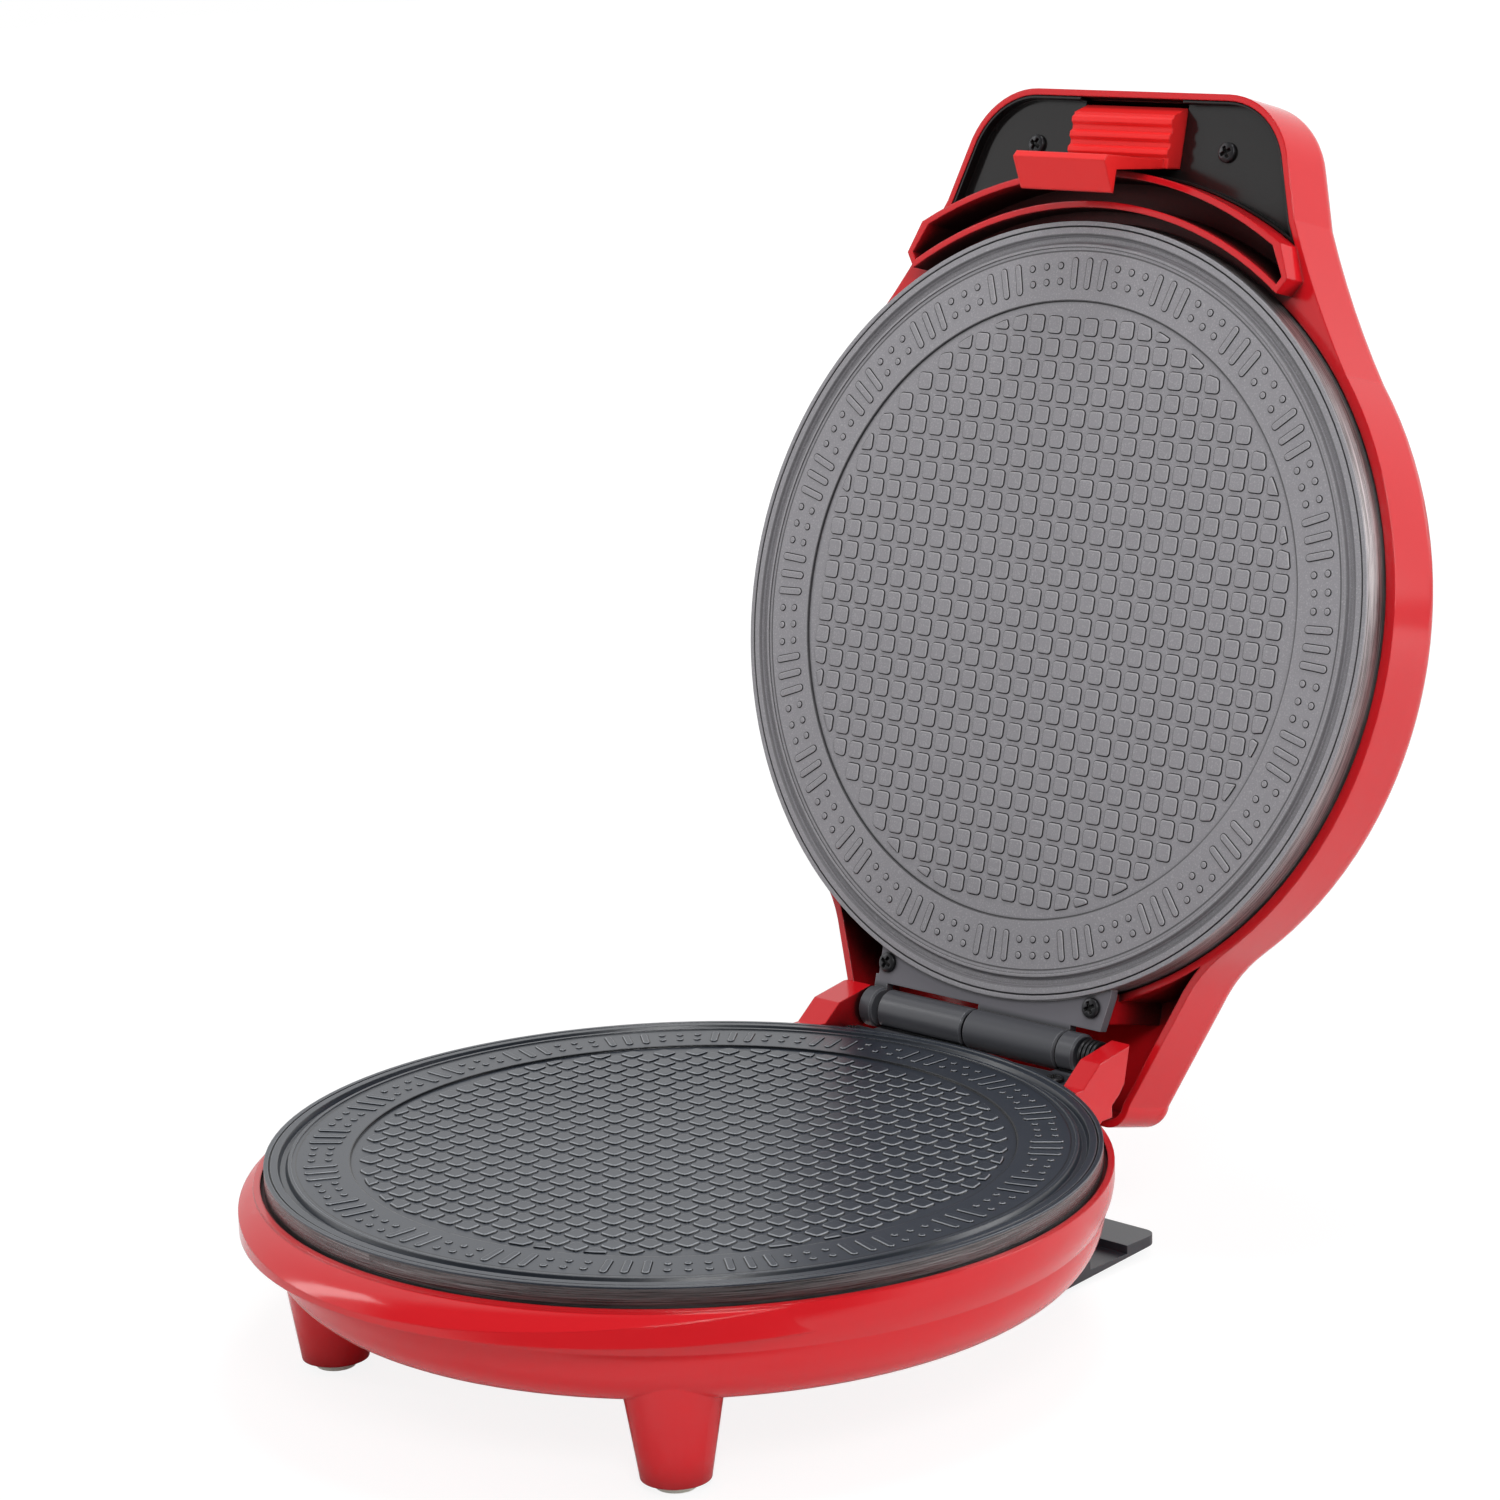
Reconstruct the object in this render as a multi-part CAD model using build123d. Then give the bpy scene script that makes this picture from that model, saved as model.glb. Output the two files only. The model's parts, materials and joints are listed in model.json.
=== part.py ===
from build123d import *
import math
import os

# Electric waffle and flatbread cooker with two round plates and a hinged lid.
# Millimetres, +Z up, origin on the floor at the middle of the open object.
# Pieces are drawn with the lower plate's centre over x = 0, y = 0, and the
# whole is then moved back to its origin.
# +X runs along the hinge, +Y points to the hinge, and the lid stands open.
# Base pieces are drawn from the lower rim plane, z = 0, and lifted by RIM_Z.
# Lid pieces are drawn shut, from the upper rim plane with z going up into the
# lid, and are then turned about the hinge to the open position.

# Driving dimensions
RIM_Z = 78.9
PLATE_R = 152.0
LID_GAP = 1.0
HINGE_BACK = 14.4
HINGE_RISE = 2.5
OPEN_ANGLE = 104.0

# Clearances
RUN_GAP = 0.05
SEAT_GAP = 0.3
PART_GAP = 1.2

# Cooking plates
FIELD_INSET = 31.0
FIELD_DEPTH = 1.3
BAND_DEPTH = 0.5
BAND_INSET = 10.0
MOAT_INSET = 5.0
MOAT_W = 3.8
MOAT_DEPTH = 2.0
LAND_DROP = 0.1
LINE_INSET = 2.0
LINE_W = 0.8
LINE_DEPTH = 0.8
PLATE_WALL = 3.5
SKIRT_WALL = 3.0
LOWER_SKIRT = 9.0
UPPER_SKIRT = 13.0
FLANGE_T = 4.0
LOWER_FLANGE_DROP = 3.3
UPPER_FLANGE_DROP = 2.0
FLANGE_LEFT = 56.0
FLANGE_RIGHT = 60.2
FLANGE_TAPER = 2.7
FLANGE_SHOULDER_IN = 9.0
FLANGE_ROOT = 32.0
FLANGE_OUT = 4.5
FLANGE_SCREW_X = 52.0
FLANGE_SCREW_IN = 3.8

# Heating elements and their shields
ELEMENT_INSET = 47.0
SHEATH_R = 3.3
ELEMENT_BOSS_HALF = 6.0
ELEMENT_SWEEP = 330.0
ELEMENT_STEM = 16.0
POST_R = 5.0
POST_INSET = 25.0
POST_COUNT = 3
SHIELD_DEPTH = 18.0
SHIELD_T = 1.0
SHIELD_INSET = 14.0
SHIELD_RIM = 4.0

# Hinge
PIN_R = 3.0
BARREL_R = 8.0
BARREL_CHAMFER = 0.8
PIN_LEFT = -58.3
PIN_RIGHT = 62.2
LOWER_BARREL = (-47.5, -4.0)
LOWER_STUB = (43.4, 52.0)
UPPER_BARREL = (-3.2, 43.0)
UPPER_LUG = (-57.5, -51.0)
SPRING_TURNS = 4
SPRING_R = 6.6
SPRING_GROOVE = 1.2

# Base shell
SHELL_WALL = 2.5
PLATE_CLEAR = 0.6
CREST_WALL = 3.4
CREST_DROP = 7.0
BEAD_DROP = 11.0
WAIST_INSET = 3.5
WAIST_DROP = 23.7
BOWL_CORNER_R = 22.5
LEDGE_W = 6.0
LIP_SHIFT = 20.0
LIP_INSET = 9.8
LIP_FALL = 6.2
LIP_EDGE = 2.5
LIP_BOTTOM_DROP = 18.2
FOOT_TURN = 47.8
FOOT_INSET = 0.4
FOOT_TOP_R = 17.0
FOOT_END_R = 12.3
FOOT_TIP_R = 7.5
FOOT_TIP_OUT = 3.5
FOOT_TIP_IN = 2.5
CHEEK_LEFT_IN = 59.5
CHEEK_RIGHT_IN = 63.5
CHEEK_OUT = 73.0
CHEEK_TOP = 9.9
CHEEK_STEP = 6.8
CHEEK_STEP_IN = 16.4
CHEEK_RISE = 10.0
CHEEK_FOOT = 1.0
CHEEK_ROOT = 32.0
CHEEK_CHAMFER = 2.5
HOUSING_LIP = 0.5
HOUSING_DEPTH = 16.0
HOUSING_IN = 20.0
VENT_COUNT = 5
VENT_PITCH = 9.0
VENT_LENGTH = 34.0
VENT_W = 3.0

# Rear stand
STAND_HALF = 73.0
STAND_LENGTH = 85.0
STAND_PAST_HINGE = 18.8
STAND_TOP = 9.2
STAND_BAR = 19.5
STAND_GROOVE = 22.5
STAND_GROOVE_FLOOR = 5.9
STAND_WALL = 3.0
STAND_CORNER = 6.0
STAND_LIFT = 1.5
STAND_KNEE = 30.0
STAND_REAR_LIFT = 5.6
COLUMN_HALF = 45.0
COLUMN_LENGTH = 32.0
COLUMN_INSET = 10.0
STAND_SCREW_X = 30.0
STAND_PAD_X = 50.0
STAND_PAD_R = 6.0
STAND_PAD_T = 4.0

# Lid shell
LID_MARGIN = 5.0
LID_CLEAR = 1.0
LID_FACE = 11.0
LID_TOP = 42.0
LID_EDGE = 8.0
LID_ROOF = 2.8
LID_WALL = 3.0
HANDLE_OUT = 47.7
HANDLE_FLAT_HALF = 47.0
HANDLE_CORNER_R = 33.0
HANDLE_TAPER = 0.27
HANDLE_SHOULDER_X = 85.8
HANDLE_SHOULDER_OUT = 1.4
HANDLE_WAIST_X = 101.3
HANDLE_WAIST_IN = 27.6
HANDLE_MERGE_IN = 55.0
HANDLE_BORDER = 2.5
NECK_MERGE_IN = 39.0
NECK_WAIST_X = 87.8
NECK_WAIST_IN = 16.1
NECK_PAST_HINGE = 26.6
NECK_END_HALF = 69.6
NECK_CORNER = 9.5
PLATFORM_HALF = 57.5
PLATFORM_GAP = 12.9
RIB_T = 2.7

# Crescent channel in front of the handle
CHANNEL_MARGIN = 3.0
CHANNEL_W = 10.0
CHANNEL_WALL = 2.5
CHANNEL_FACE = 0.5
CHANNEL_FLOOR = 20.5
CHANNEL_ANGLE = 30.1
CHANNEL_END_ANGLE = 34.0
CHANNEL_END_W = 3.5

# Handle panel
PANEL_FACE = 15.5
PANEL_T = 2.5
PANEL_RIM = 0.9
PANEL_RIM_DROP = 0.4
PANEL_SCREW_X = 47.1
PANEL_SCREW_IN = 21.7
PANEL_SEAT = 1.5

# Latch
LATCH_HALF = 24.7
LATCH_LIP_HALF = 22.5
LATCH_FOOT_IN = 28.7
LATCH_ARM_OUT = 3.6
LATCH_CLEAR = 0.5
LATCH_BITE = 5.5
LATCH_PAD_LENGTH = 23.5
LATCH_PAD_TOP = 8.2
LATCH_BACK = 23.0
LATCH_PIN_BACK = 12.0
LATCH_PIN_Z = 20.0
LATCH_PIN_R = 1.5
LATCH_HUB_R = 4.0
LATCH_RIBS = 3
BRACKET_IN = 26.5
BRACKET_T = 4.0
LATCH_SPRING_HALF = 6.0

# Fasteners
SCREW_R = 1.9
SCREW_HEAD_R = 3.5
SCREW_HEAD_T = 2.0
SCREW_LENGTH = 9.0
LONG_SCREW_LENGTH = 14.0

# Electrical pieces
THERMOSTAT_R = 8.0
THERMOSTAT_H = 9.0
THERMOSTAT_AT = (40.0, 25.0)
FUSE_R = 3.0
FUSE_LENGTH = 26.0
FUSE_AT = (-45.0, 20.0)
TERMINAL_SIZE = (34.0, 16.0, 13.0)
TERMINAL_Y = 45.0
GLAND_R = 7.0
GLAND_HEAD_R = 9.0
GLAND_BORE_R = 3.6
GLAND_DROP = 33.0
GLAND_BOSS_R = 11.0
GLAND_BOSS_OUT = 1.0
GLAND_HEAD_T = 4.0
GLAND_LENGTH = 13.5
LENS_R = 4.0
LENS_X = 9.0
LENS_IN = 23.7
LENS_OUT = 1.2
LENS_DEPTH = 6.0

# Worked-out values
HINGE_Y = PLATE_R + HINGE_BACK
FIELD_R = PLATE_R - FIELD_INSET
BAND_R = PLATE_R - BAND_INSET
MOAT_OUT = PLATE_R - MOAT_INSET
MOAT_IN = MOAT_OUT - MOAT_W
LINE_R = PLATE_R - LINE_INSET
FLANGE_SHOULDER_Y = PLATE_R - FLANGE_SHOULDER_IN
FLANGE_END_Y = PLATE_R + FLANGE_OUT
FLANGE_SCREW_Y = PLATE_R - FLANGE_SCREW_IN
ELEMENT_R = PLATE_R - ELEMENT_INSET
POST_CIRCLE_R = ELEMENT_R - POST_INSET
SHIELD_R = PLATE_R - SHIELD_INSET
CREST_R = PLATE_R + PLATE_CLEAR + CREST_WALL
WAIST_R = CREST_R - WAIST_INSET
LEDGE_R = PLATE_R - LEDGE_W
LIP_R = CREST_R - LIP_INSET
LIP_END = LIP_SHIFT + LIP_R
HOUSING_Y = FLANGE_END_Y + HOUSING_LIP
LID_R = PLATE_R + LID_MARGIN
LID_BORE_R = PLATE_R + LID_CLEAR
LID_LEDGE_R = LID_BORE_R - LEDGE_W
RIB_R = LID_BORE_R + RIB_T
HANDLE_END = LID_R + HANDLE_OUT
HANDLE_SHOULDER = (HANDLE_SHOULDER_X, LID_R + HANDLE_SHOULDER_OUT)
HANDLE_WAIST = (HANDLE_WAIST_X, LID_R - HANDLE_WAIST_IN)
HANDLE_MERGE_Y = LID_R - HANDLE_MERGE_IN
NECK_MERGE_Y = NECK_MERGE_IN - LID_R
NECK_WAIST = (NECK_WAIST_X, NECK_WAIST_IN - LID_R)
NECK_END = -HINGE_Y - NECK_PAST_HINGE
PLATFORM_END = PLATFORM_GAP - HINGE_Y
CHANNEL_IN = LID_R + CHANNEL_MARGIN
CHANNEL_OUT = CHANNEL_IN + CHANNEL_W
CHANNEL_END_R = CHANNEL_IN + CHANNEL_END_W
PANEL_SCREW_Y = HANDLE_END - PANEL_SCREW_IN
LATCH_FOOT_Y = HANDLE_END - LATCH_FOOT_IN
LATCH_ARM_Y = LIP_END + LATCH_ARM_OUT
LATCH_TIP_Y = LIP_END - LATCH_BITE
LATCH_END_Y = LATCH_FOOT_Y + LATCH_PAD_LENGTH
LATCH_PIN_Y = LATCH_FOOT_Y + LATCH_PIN_BACK
LATCH_CATCH = LIP_BOTTOM_DROP + LID_GAP + LATCH_CLEAR
LENS_Y = HANDLE_END - LENS_IN
HINGE_Z = RIM_Z + HINGE_RISE
LID_HINGE_Z = HINGE_RISE - LID_GAP
UNDERSIDE = FIELD_DEPTH + PLATE_WALL
BOWL_BOTTOM = WAIST_DROP + BOWL_CORNER_R
BOWL_FLAT_R = WAIST_R - BOWL_CORNER_R
FOOT_X = (BOWL_FLAT_R - FOOT_INSET) * math.cos(math.radians(FOOT_TURN))
FOOT_Y = -(BOWL_FLAT_R - FOOT_INSET) * math.sin(math.radians(FOOT_TURN))
GLAND_BOSS_Y = WAIST_R + GLAND_BOSS_OUT
GLAND_INNER_Y = GLAND_BOSS_Y - GLAND_LENGTH
COLUMN_REAR = BOWL_FLAT_R - COLUMN_INSET
COLUMN_FRONT = COLUMN_REAR - COLUMN_LENGTH
STAND_REAR = HINGE_Y + STAND_PAST_HINGE
STAND_FRONT = STAND_REAR - STAND_LENGTH
STAND_PAD_Y = STAND_REAR - STAND_BAR - STAND_GROOVE
FLOOR_INSIDE = BOWL_BOTTOM - SHELL_WALL
BORE_R = PIN_R + RUN_GAP
SCREW_HOLE_R = SCREW_R + RUN_GAP
ELEMENT_Z = UNDERSIDE + SHEATH_R + 1.0
LID_INSIDE = LID_TOP - LID_ROOF
PANEL_BACK = PANEL_FACE + PANEL_T
UP = (Align.CENTER, Align.CENTER, Align.MIN)


def revolve_profile(points, arc=360.0):
    """Turn a closed outline of (radius, height) points about Z."""
    outline = Plane.XZ * make_face(Polyline(*points, close=True))
    return revolve(outline, Axis.Z, arc)


def column(radius, low, high, x=0.0, y=0.0):
    """Upright cylinder between two heights."""
    return Pos(x, y, low) * Cylinder(radius, high - low, align=UP)


def block(x0, x1, y0, y1, z0, z1):
    """Box between two corners."""
    size = Box(x1 - x0, y1 - y0, z1 - z0)
    return Pos((x0 + x1) / 2, (y0 + y1) / 2, (z0 + z1) / 2) * size


def along_x(radius, x0, x1, y, z):
    """Cylinder lying along the hinge direction."""
    rod = Rot(0, 90, 0) * Cylinder(radius, x1 - x0)
    return Pos((x0 + x1) / 2, y, z) * rod


def around(count, radius, start=90.0):
    """Evenly spaced points on a circle."""
    turn = [math.radians(start + 360.0 * k / count) for k in range(count)]
    return [(radius * math.cos(t), radius * math.sin(t)) for t in turn]


def screw(x, y, head_top, length, down=1.0):
    """Round-headed screw whose head faces +Z, or -Z where down is -1."""
    head = column(SCREW_HEAD_R, -SCREW_HEAD_T, 0.0)
    shank = column(SCREW_R, -SCREW_HEAD_T - length, -SCREW_HEAD_T)
    body = head + shank
    if down < 0:
        body = mirror(body, about=Plane.XY)
    return Pos(x, y, head_top) * body


def lifted(shape):
    """Move a base piece from the rim plane to its height over the floor."""
    return Pos(0, 0, RIM_Z) * shape


def opened(shape):
    """Move a lid piece from the shut position to the open one."""
    shut = Pos(0, 0, RIM_Z + LID_GAP) * shape
    return shut.rotate(Axis((0, HINGE_Y, HINGE_Z), (1, 0, 0)), -OPEN_ANGLE)


def handle_first(shape):
    """Turn a lid piece drawn with its handle on +Y to face the front."""
    return Rot(0, 0, 180) * shape


# Cooking plates and what is fixed under them

def plate_disc(skirt):
    """Cast disc, face up: sunken field, band, moat, rim and skirt."""
    inner = PLATE_R - SKIRT_WALL
    groove = LINE_W / 2
    profile = [
        (0, -FIELD_DEPTH),
        (FIELD_R, -FIELD_DEPTH),
        (FIELD_R, -BAND_DEPTH),
        (BAND_R, -BAND_DEPTH),
        (BAND_R, -LAND_DROP),
        (MOAT_IN, -LAND_DROP),
        (MOAT_IN + 1.0, -MOAT_DEPTH),
        (MOAT_OUT - 1.0, -MOAT_DEPTH),
        (MOAT_OUT, -LAND_DROP),
        (LINE_R - groove, -LAND_DROP),
        (LINE_R, -LINE_DEPTH),
        (LINE_R + groove, 0),
        (PLATE_R, 0),
        (PLATE_R, -skirt),
        (inner, -skirt),
        (inner, -UNDERSIDE - SKIRT_WALL / 2),
        (inner - SKIRT_WALL / 2, -UNDERSIDE),
        (0, -UNDERSIDE),
    ]
    disc = revolve_profile(profile)
    boss_in = ELEMENT_R - ELEMENT_BOSS_HALF
    boss_out = ELEMENT_R + ELEMENT_BOSS_HALF
    boss = Pos(0, 0, -ELEMENT_Z) * extrude(Circle(boss_out) - Circle(boss_in), ELEMENT_Z - UNDERSIDE)
    groove_ring = Pos(0, 0, -ELEMENT_Z) * Torus(ELEMENT_R, SHEATH_R + RUN_GAP)
    disc = disc + boss - groove_ring
    for x, y in around(POST_COUNT, POST_CIRCLE_R):
        disc += column(POST_R, -SHIELD_DEPTH, -UNDERSIDE, x, y)
    return disc


def flange(drop):
    """Ear of a plate that carries its half of the hinge."""
    start = FLANGE_SHOULDER_Y - FLANGE_ROOT
    outline = [
        (FLANGE_RIGHT, start),
        (FLANGE_RIGHT, FLANGE_SHOULDER_Y),
        (FLANGE_RIGHT - FLANGE_TAPER, FLANGE_END_Y),
        (-FLANGE_LEFT, FLANGE_END_Y),
        (-FLANGE_LEFT, start),
    ]
    ear = make_face(Polyline(*outline, close=True)) - Circle(PLATE_R - SKIRT_WALL / 2)
    body = Pos(0, 0, -drop - FLANGE_T) * extrude(ear, FLANGE_T)
    for side in (-1, 1):
        body -= column(SCREW_HOLE_R, -drop - FLANGE_T, -drop, side * FLANGE_SCREW_X, FLANGE_SCREW_Y)
    return body


def knuckle(x0, x1, axis_z, web_low, web_high):
    """Hinge barrel with the web that joins it to the plate's ear."""
    barrel = along_x(BARREL_R, x0, x1, HINGE_Y, axis_z)
    barrel = chamfer(barrel.edges().filter_by(GeomType.CIRCLE), BARREL_CHAMFER)
    web = block(x0, x1, FLANGE_END_Y - 3.0, HINGE_Y, web_low, web_high)
    return barrel + web - along_x(BORE_R, x0 - 1, x1 + 1, HINGE_Y, axis_z)


def lower_plate():
    """Base plate with one long barrel and a stub lug."""
    web_high = -LOWER_FLANGE_DROP
    web_low = web_high - FLANGE_T
    plate = plate_disc(LOWER_SKIRT) + flange(LOWER_FLANGE_DROP)
    for x0, x1 in (LOWER_BARREL, LOWER_STUB):
        plate += knuckle(x0, x1, HINGE_RISE, web_low, web_high)
    return plate


def upper_plate():
    """Lid plate, face down when shut, with one long barrel and an end lug."""
    plate = mirror(plate_disc(UPPER_SKIRT) + flange(UPPER_FLANGE_DROP), about=Plane.XY)
    web_low = UPPER_FLANGE_DROP
    web_high = web_low + FLANGE_T
    for x0, x1 in (UPPER_BARREL, UPPER_LUG):
        plate += knuckle(x0, x1, LID_HINGE_Z, web_low, web_high)
    return plate


def stem_points():
    """The two ends of the element's open ring."""
    half_gap = math.radians((360.0 - ELEMENT_SWEEP) / 2)
    return [(ELEMENT_R * math.sin(s * half_gap), ELEMENT_R * math.cos(half_gap)) for s in (-1, 1)]


def heating_element():
    """Tubular heater: an open ring with two stems, under a plate."""
    start = Plane((0, ELEMENT_R, 0), x_dir=(0, 1, 0), z_dir=(-1, 0, 0))
    ring = revolve(start * RegularPolygon(SHEATH_R, 8), Axis.Z, ELEMENT_SWEEP)
    ring = Rot(0, 0, (360.0 - ELEMENT_SWEEP) / 2) * ring
    body = Pos(0, 0, -ELEMENT_Z) * ring
    for x, y in stem_points():
        body += column(SHEATH_R, -ELEMENT_Z - ELEMENT_STEM, -ELEMENT_Z, x, y)
    return body


def heat_shield():
    """Thin dished disc clamped between the plate's posts and the shell."""
    inner = SHIELD_R - SHIELD_T
    profile = [
        (0, -SHIELD_DEPTH - SHIELD_T),
        (SHIELD_R, -SHIELD_DEPTH - SHIELD_T),
        (SHIELD_R, -SHIELD_DEPTH + SHIELD_RIM),
        (inner, -SHIELD_DEPTH + SHIELD_RIM),
        (inner, -SHIELD_DEPTH),
        (0, -SHIELD_DEPTH),
    ]
    body = revolve_profile(profile)
    low = -SHIELD_DEPTH - SHIELD_T
    for x, y in stem_points():
        body -= column(SHEATH_R + PART_GAP, low, -SHIELD_DEPTH, x, y)
    for x, y in around(POST_COUNT, POST_CIRCLE_R):
        body -= column(SCREW_HOLE_R, low, -SHIELD_DEPTH, x, y)
    return body


def flange_screws(drop):
    """The two screws through a plate's ear."""
    heads = [screw(s * FLANGE_SCREW_X, FLANGE_SCREW_Y, SCREW_HEAD_T - drop, SCREW_LENGTH) for s in (-1, 1)]
    return Compound(children=heads)


def plate_screw_top():
    """Height of the heads of the screws that come up from under the base."""
    return -SHIELD_DEPTH - SHIELD_T - 3.0 - SCREW_HEAD_T


def plate_screws():
    """Screws that pull the lower plate down from inside the bowl's towers."""
    top = plate_screw_top()
    bodies = [screw(x, y, top, LONG_SCREW_LENGTH - 4.0, -1.0) for x, y in around(POST_COUNT, POST_CIRCLE_R)]
    return Compound(children=bodies)


def drilled_for_plate_screws(plate):
    """Blind screw holes in the plate's posts."""
    top = plate_screw_top() + SCREW_HEAD_T + LONG_SCREW_LENGTH - 4.0 + SEAT_GAP
    for x, y in around(POST_COUNT, POST_CIRCLE_R):
        plate -= column(SCREW_HOLE_R, -SHIELD_DEPTH, top, x, y)
    return plate


# Base shell

def bowl_outside():
    """Solid outer form of the bowl: crest, bead, waist and rounded corner."""
    drop = WAIST_DROP - BEAD_DROP
    inset = CREST_R - WAIST_R
    bead_r = (inset ** 2 + drop ** 2) / (2 * inset)
    half = math.asin(drop / bead_r) / 2
    bead_mid = (CREST_R - bead_r * (1 - math.cos(half)), -BEAD_DROP - bead_r * math.sin(half))
    corner = BOWL_CORNER_R * math.sqrt(0.5)
    edge = [
        Line((0, -CREST_DROP), (CREST_R, -CREST_DROP)),
        Line((CREST_R, -CREST_DROP), (CREST_R, -BEAD_DROP)),
        ThreePointArc((CREST_R, -BEAD_DROP), bead_mid, (WAIST_R, -WAIST_DROP)),
        ThreePointArc(
            (WAIST_R, -WAIST_DROP),
            (BOWL_FLAT_R + corner, -WAIST_DROP - corner),
            (BOWL_FLAT_R, -BOWL_BOTTOM),
        ),
        Line((BOWL_FLAT_R, -BOWL_BOTTOM), (0, -BOWL_BOTTOM)),
        Line((0, -BOWL_BOTTOM), (0, -CREST_DROP)),
    ]
    return revolve(Plane.XZ * make_face(edge), Axis.Z)


def bowl_inside():
    """Hollow of the bowl, with a ledge for the plate's skirt."""
    wall_r = WAIST_R - SHELL_WALL
    inner_r = BOWL_CORNER_R - SHELL_WALL
    corner = inner_r * math.sqrt(0.5)
    ledge_low = LOWER_SKIRT + SHELL_WALL
    rim = CREST_R - SHELL_WALL
    edge = [
        Polyline((0, 0), (rim, 0), (rim, -LOWER_SKIRT), (LEDGE_R, -LOWER_SKIRT), (LEDGE_R, -ledge_low)),
        Polyline((LEDGE_R, -ledge_low), (wall_r, -ledge_low - SHELL_WALL), (wall_r, -WAIST_DROP)),
        ThreePointArc(
            (wall_r, -WAIST_DROP),
            (BOWL_FLAT_R + corner, -WAIST_DROP - corner),
            (BOWL_FLAT_R, -FLOOR_INSIDE),
        ),
        Polyline((BOWL_FLAT_R, -FLOOR_INSIDE), (0, -FLOOR_INSIDE), (0, 0)),
    ]
    return revolve(Plane.XZ * make_face(edge), Axis.Z)


def front_lip():
    """Crescent lip: a round form centred forward of the bowl, its top falling outwards."""
    start = (CREST_R - CREST_WALL, -CREST_DROP)
    end = (LIP_END, LIP_EDGE - LIP_BOTTOM_DROP)
    middle = ((start[0] + end[0]) / 2 + 1.0, -CREST_DROP - LIP_FALL / 2)
    edge = [
        ThreePointArc(start, middle, end),
        Polyline(end, (LIP_END, -LIP_BOTTOM_DROP), (start[0], -LIP_BOTTOM_DROP), start),
    ]
    slope = revolve(Plane.XZ * make_face(edge), Axis.Z)
    round_form = column(LIP_R, -LIP_BOTTOM_DROP, 0, 0, -LIP_SHIFT)
    return slope & round_form


def foot_cone(inset, low, high):
    """Tapered foot between two depths, its radius reduced by an inset."""
    taper = (FOOT_TOP_R - FOOT_END_R) / (RIM_Z - FOOT_TIP_OUT - BOWL_BOTTOM)
    low_r = FOOT_END_R + taper * (RIM_Z - FOOT_TIP_OUT - low) - inset
    high_r = FOOT_END_R + taper * (RIM_Z - FOOT_TIP_OUT - high) - inset
    return Pos(0, 0, -low) * Cone(low_r, high_r, low - high, align=UP)


def cheek(inner):
    """Hinge cheek on the right, from the bowl round behind the hinge."""
    step = HINGE_Y - CHEEK_STEP_IN
    points = [
        (step - CHEEK_ROOT, -CHEEK_FOOT),
        (step - CHEEK_RISE, -CHEEK_FOOT),
        (step, CHEEK_STEP),
        (HINGE_Y + 2.6, CHEEK_TOP),
        (HINGE_Y + 3.6, CHEEK_TOP - 1.8),
        (HINGE_Y + 1.6, HINGE_RISE - 2.9),
        (HINGE_Y - 5.0, HINGE_RISE - 10.5),
        (HINGE_Y - 12.9, HINGE_RISE - 16.5),
        (step, -HOUSING_DEPTH - 0.8),
        (step - HOUSING_DEPTH, -WAIST_DROP),
        (step - CHEEK_ROOT, -WAIST_DROP),
    ]
    side = Plane.YZ * make_face(Polyline(*points, close=True))
    body = Pos(inner, 0, 0) * extrude(side, CHEEK_OUT - inner)
    slope = body.edges().filter_by_position(Axis.X, CHEEK_OUT - 0.01, CHEEK_OUT + 0.01)
    slope = slope.filter_by_position(Axis.Z, -CHEEK_FOOT - 0.01, CHEEK_STEP + 0.01).sort_by(Axis.Z)[-1]
    return chamfer(slope, CHEEK_CHAMFER)


def vents():
    """Rows of air slots in the bowl's floor."""
    slots = []
    first = -(VENT_COUNT - 1) * VENT_PITCH / 2
    for k in range(VENT_COUNT):
        x = first + k * VENT_PITCH
        slots.append(block(x - VENT_W / 2, x + VENT_W / 2, -VENT_LENGTH, 0, -BOWL_BOTTOM, -FLOOR_INSIDE))
    return slots


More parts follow.
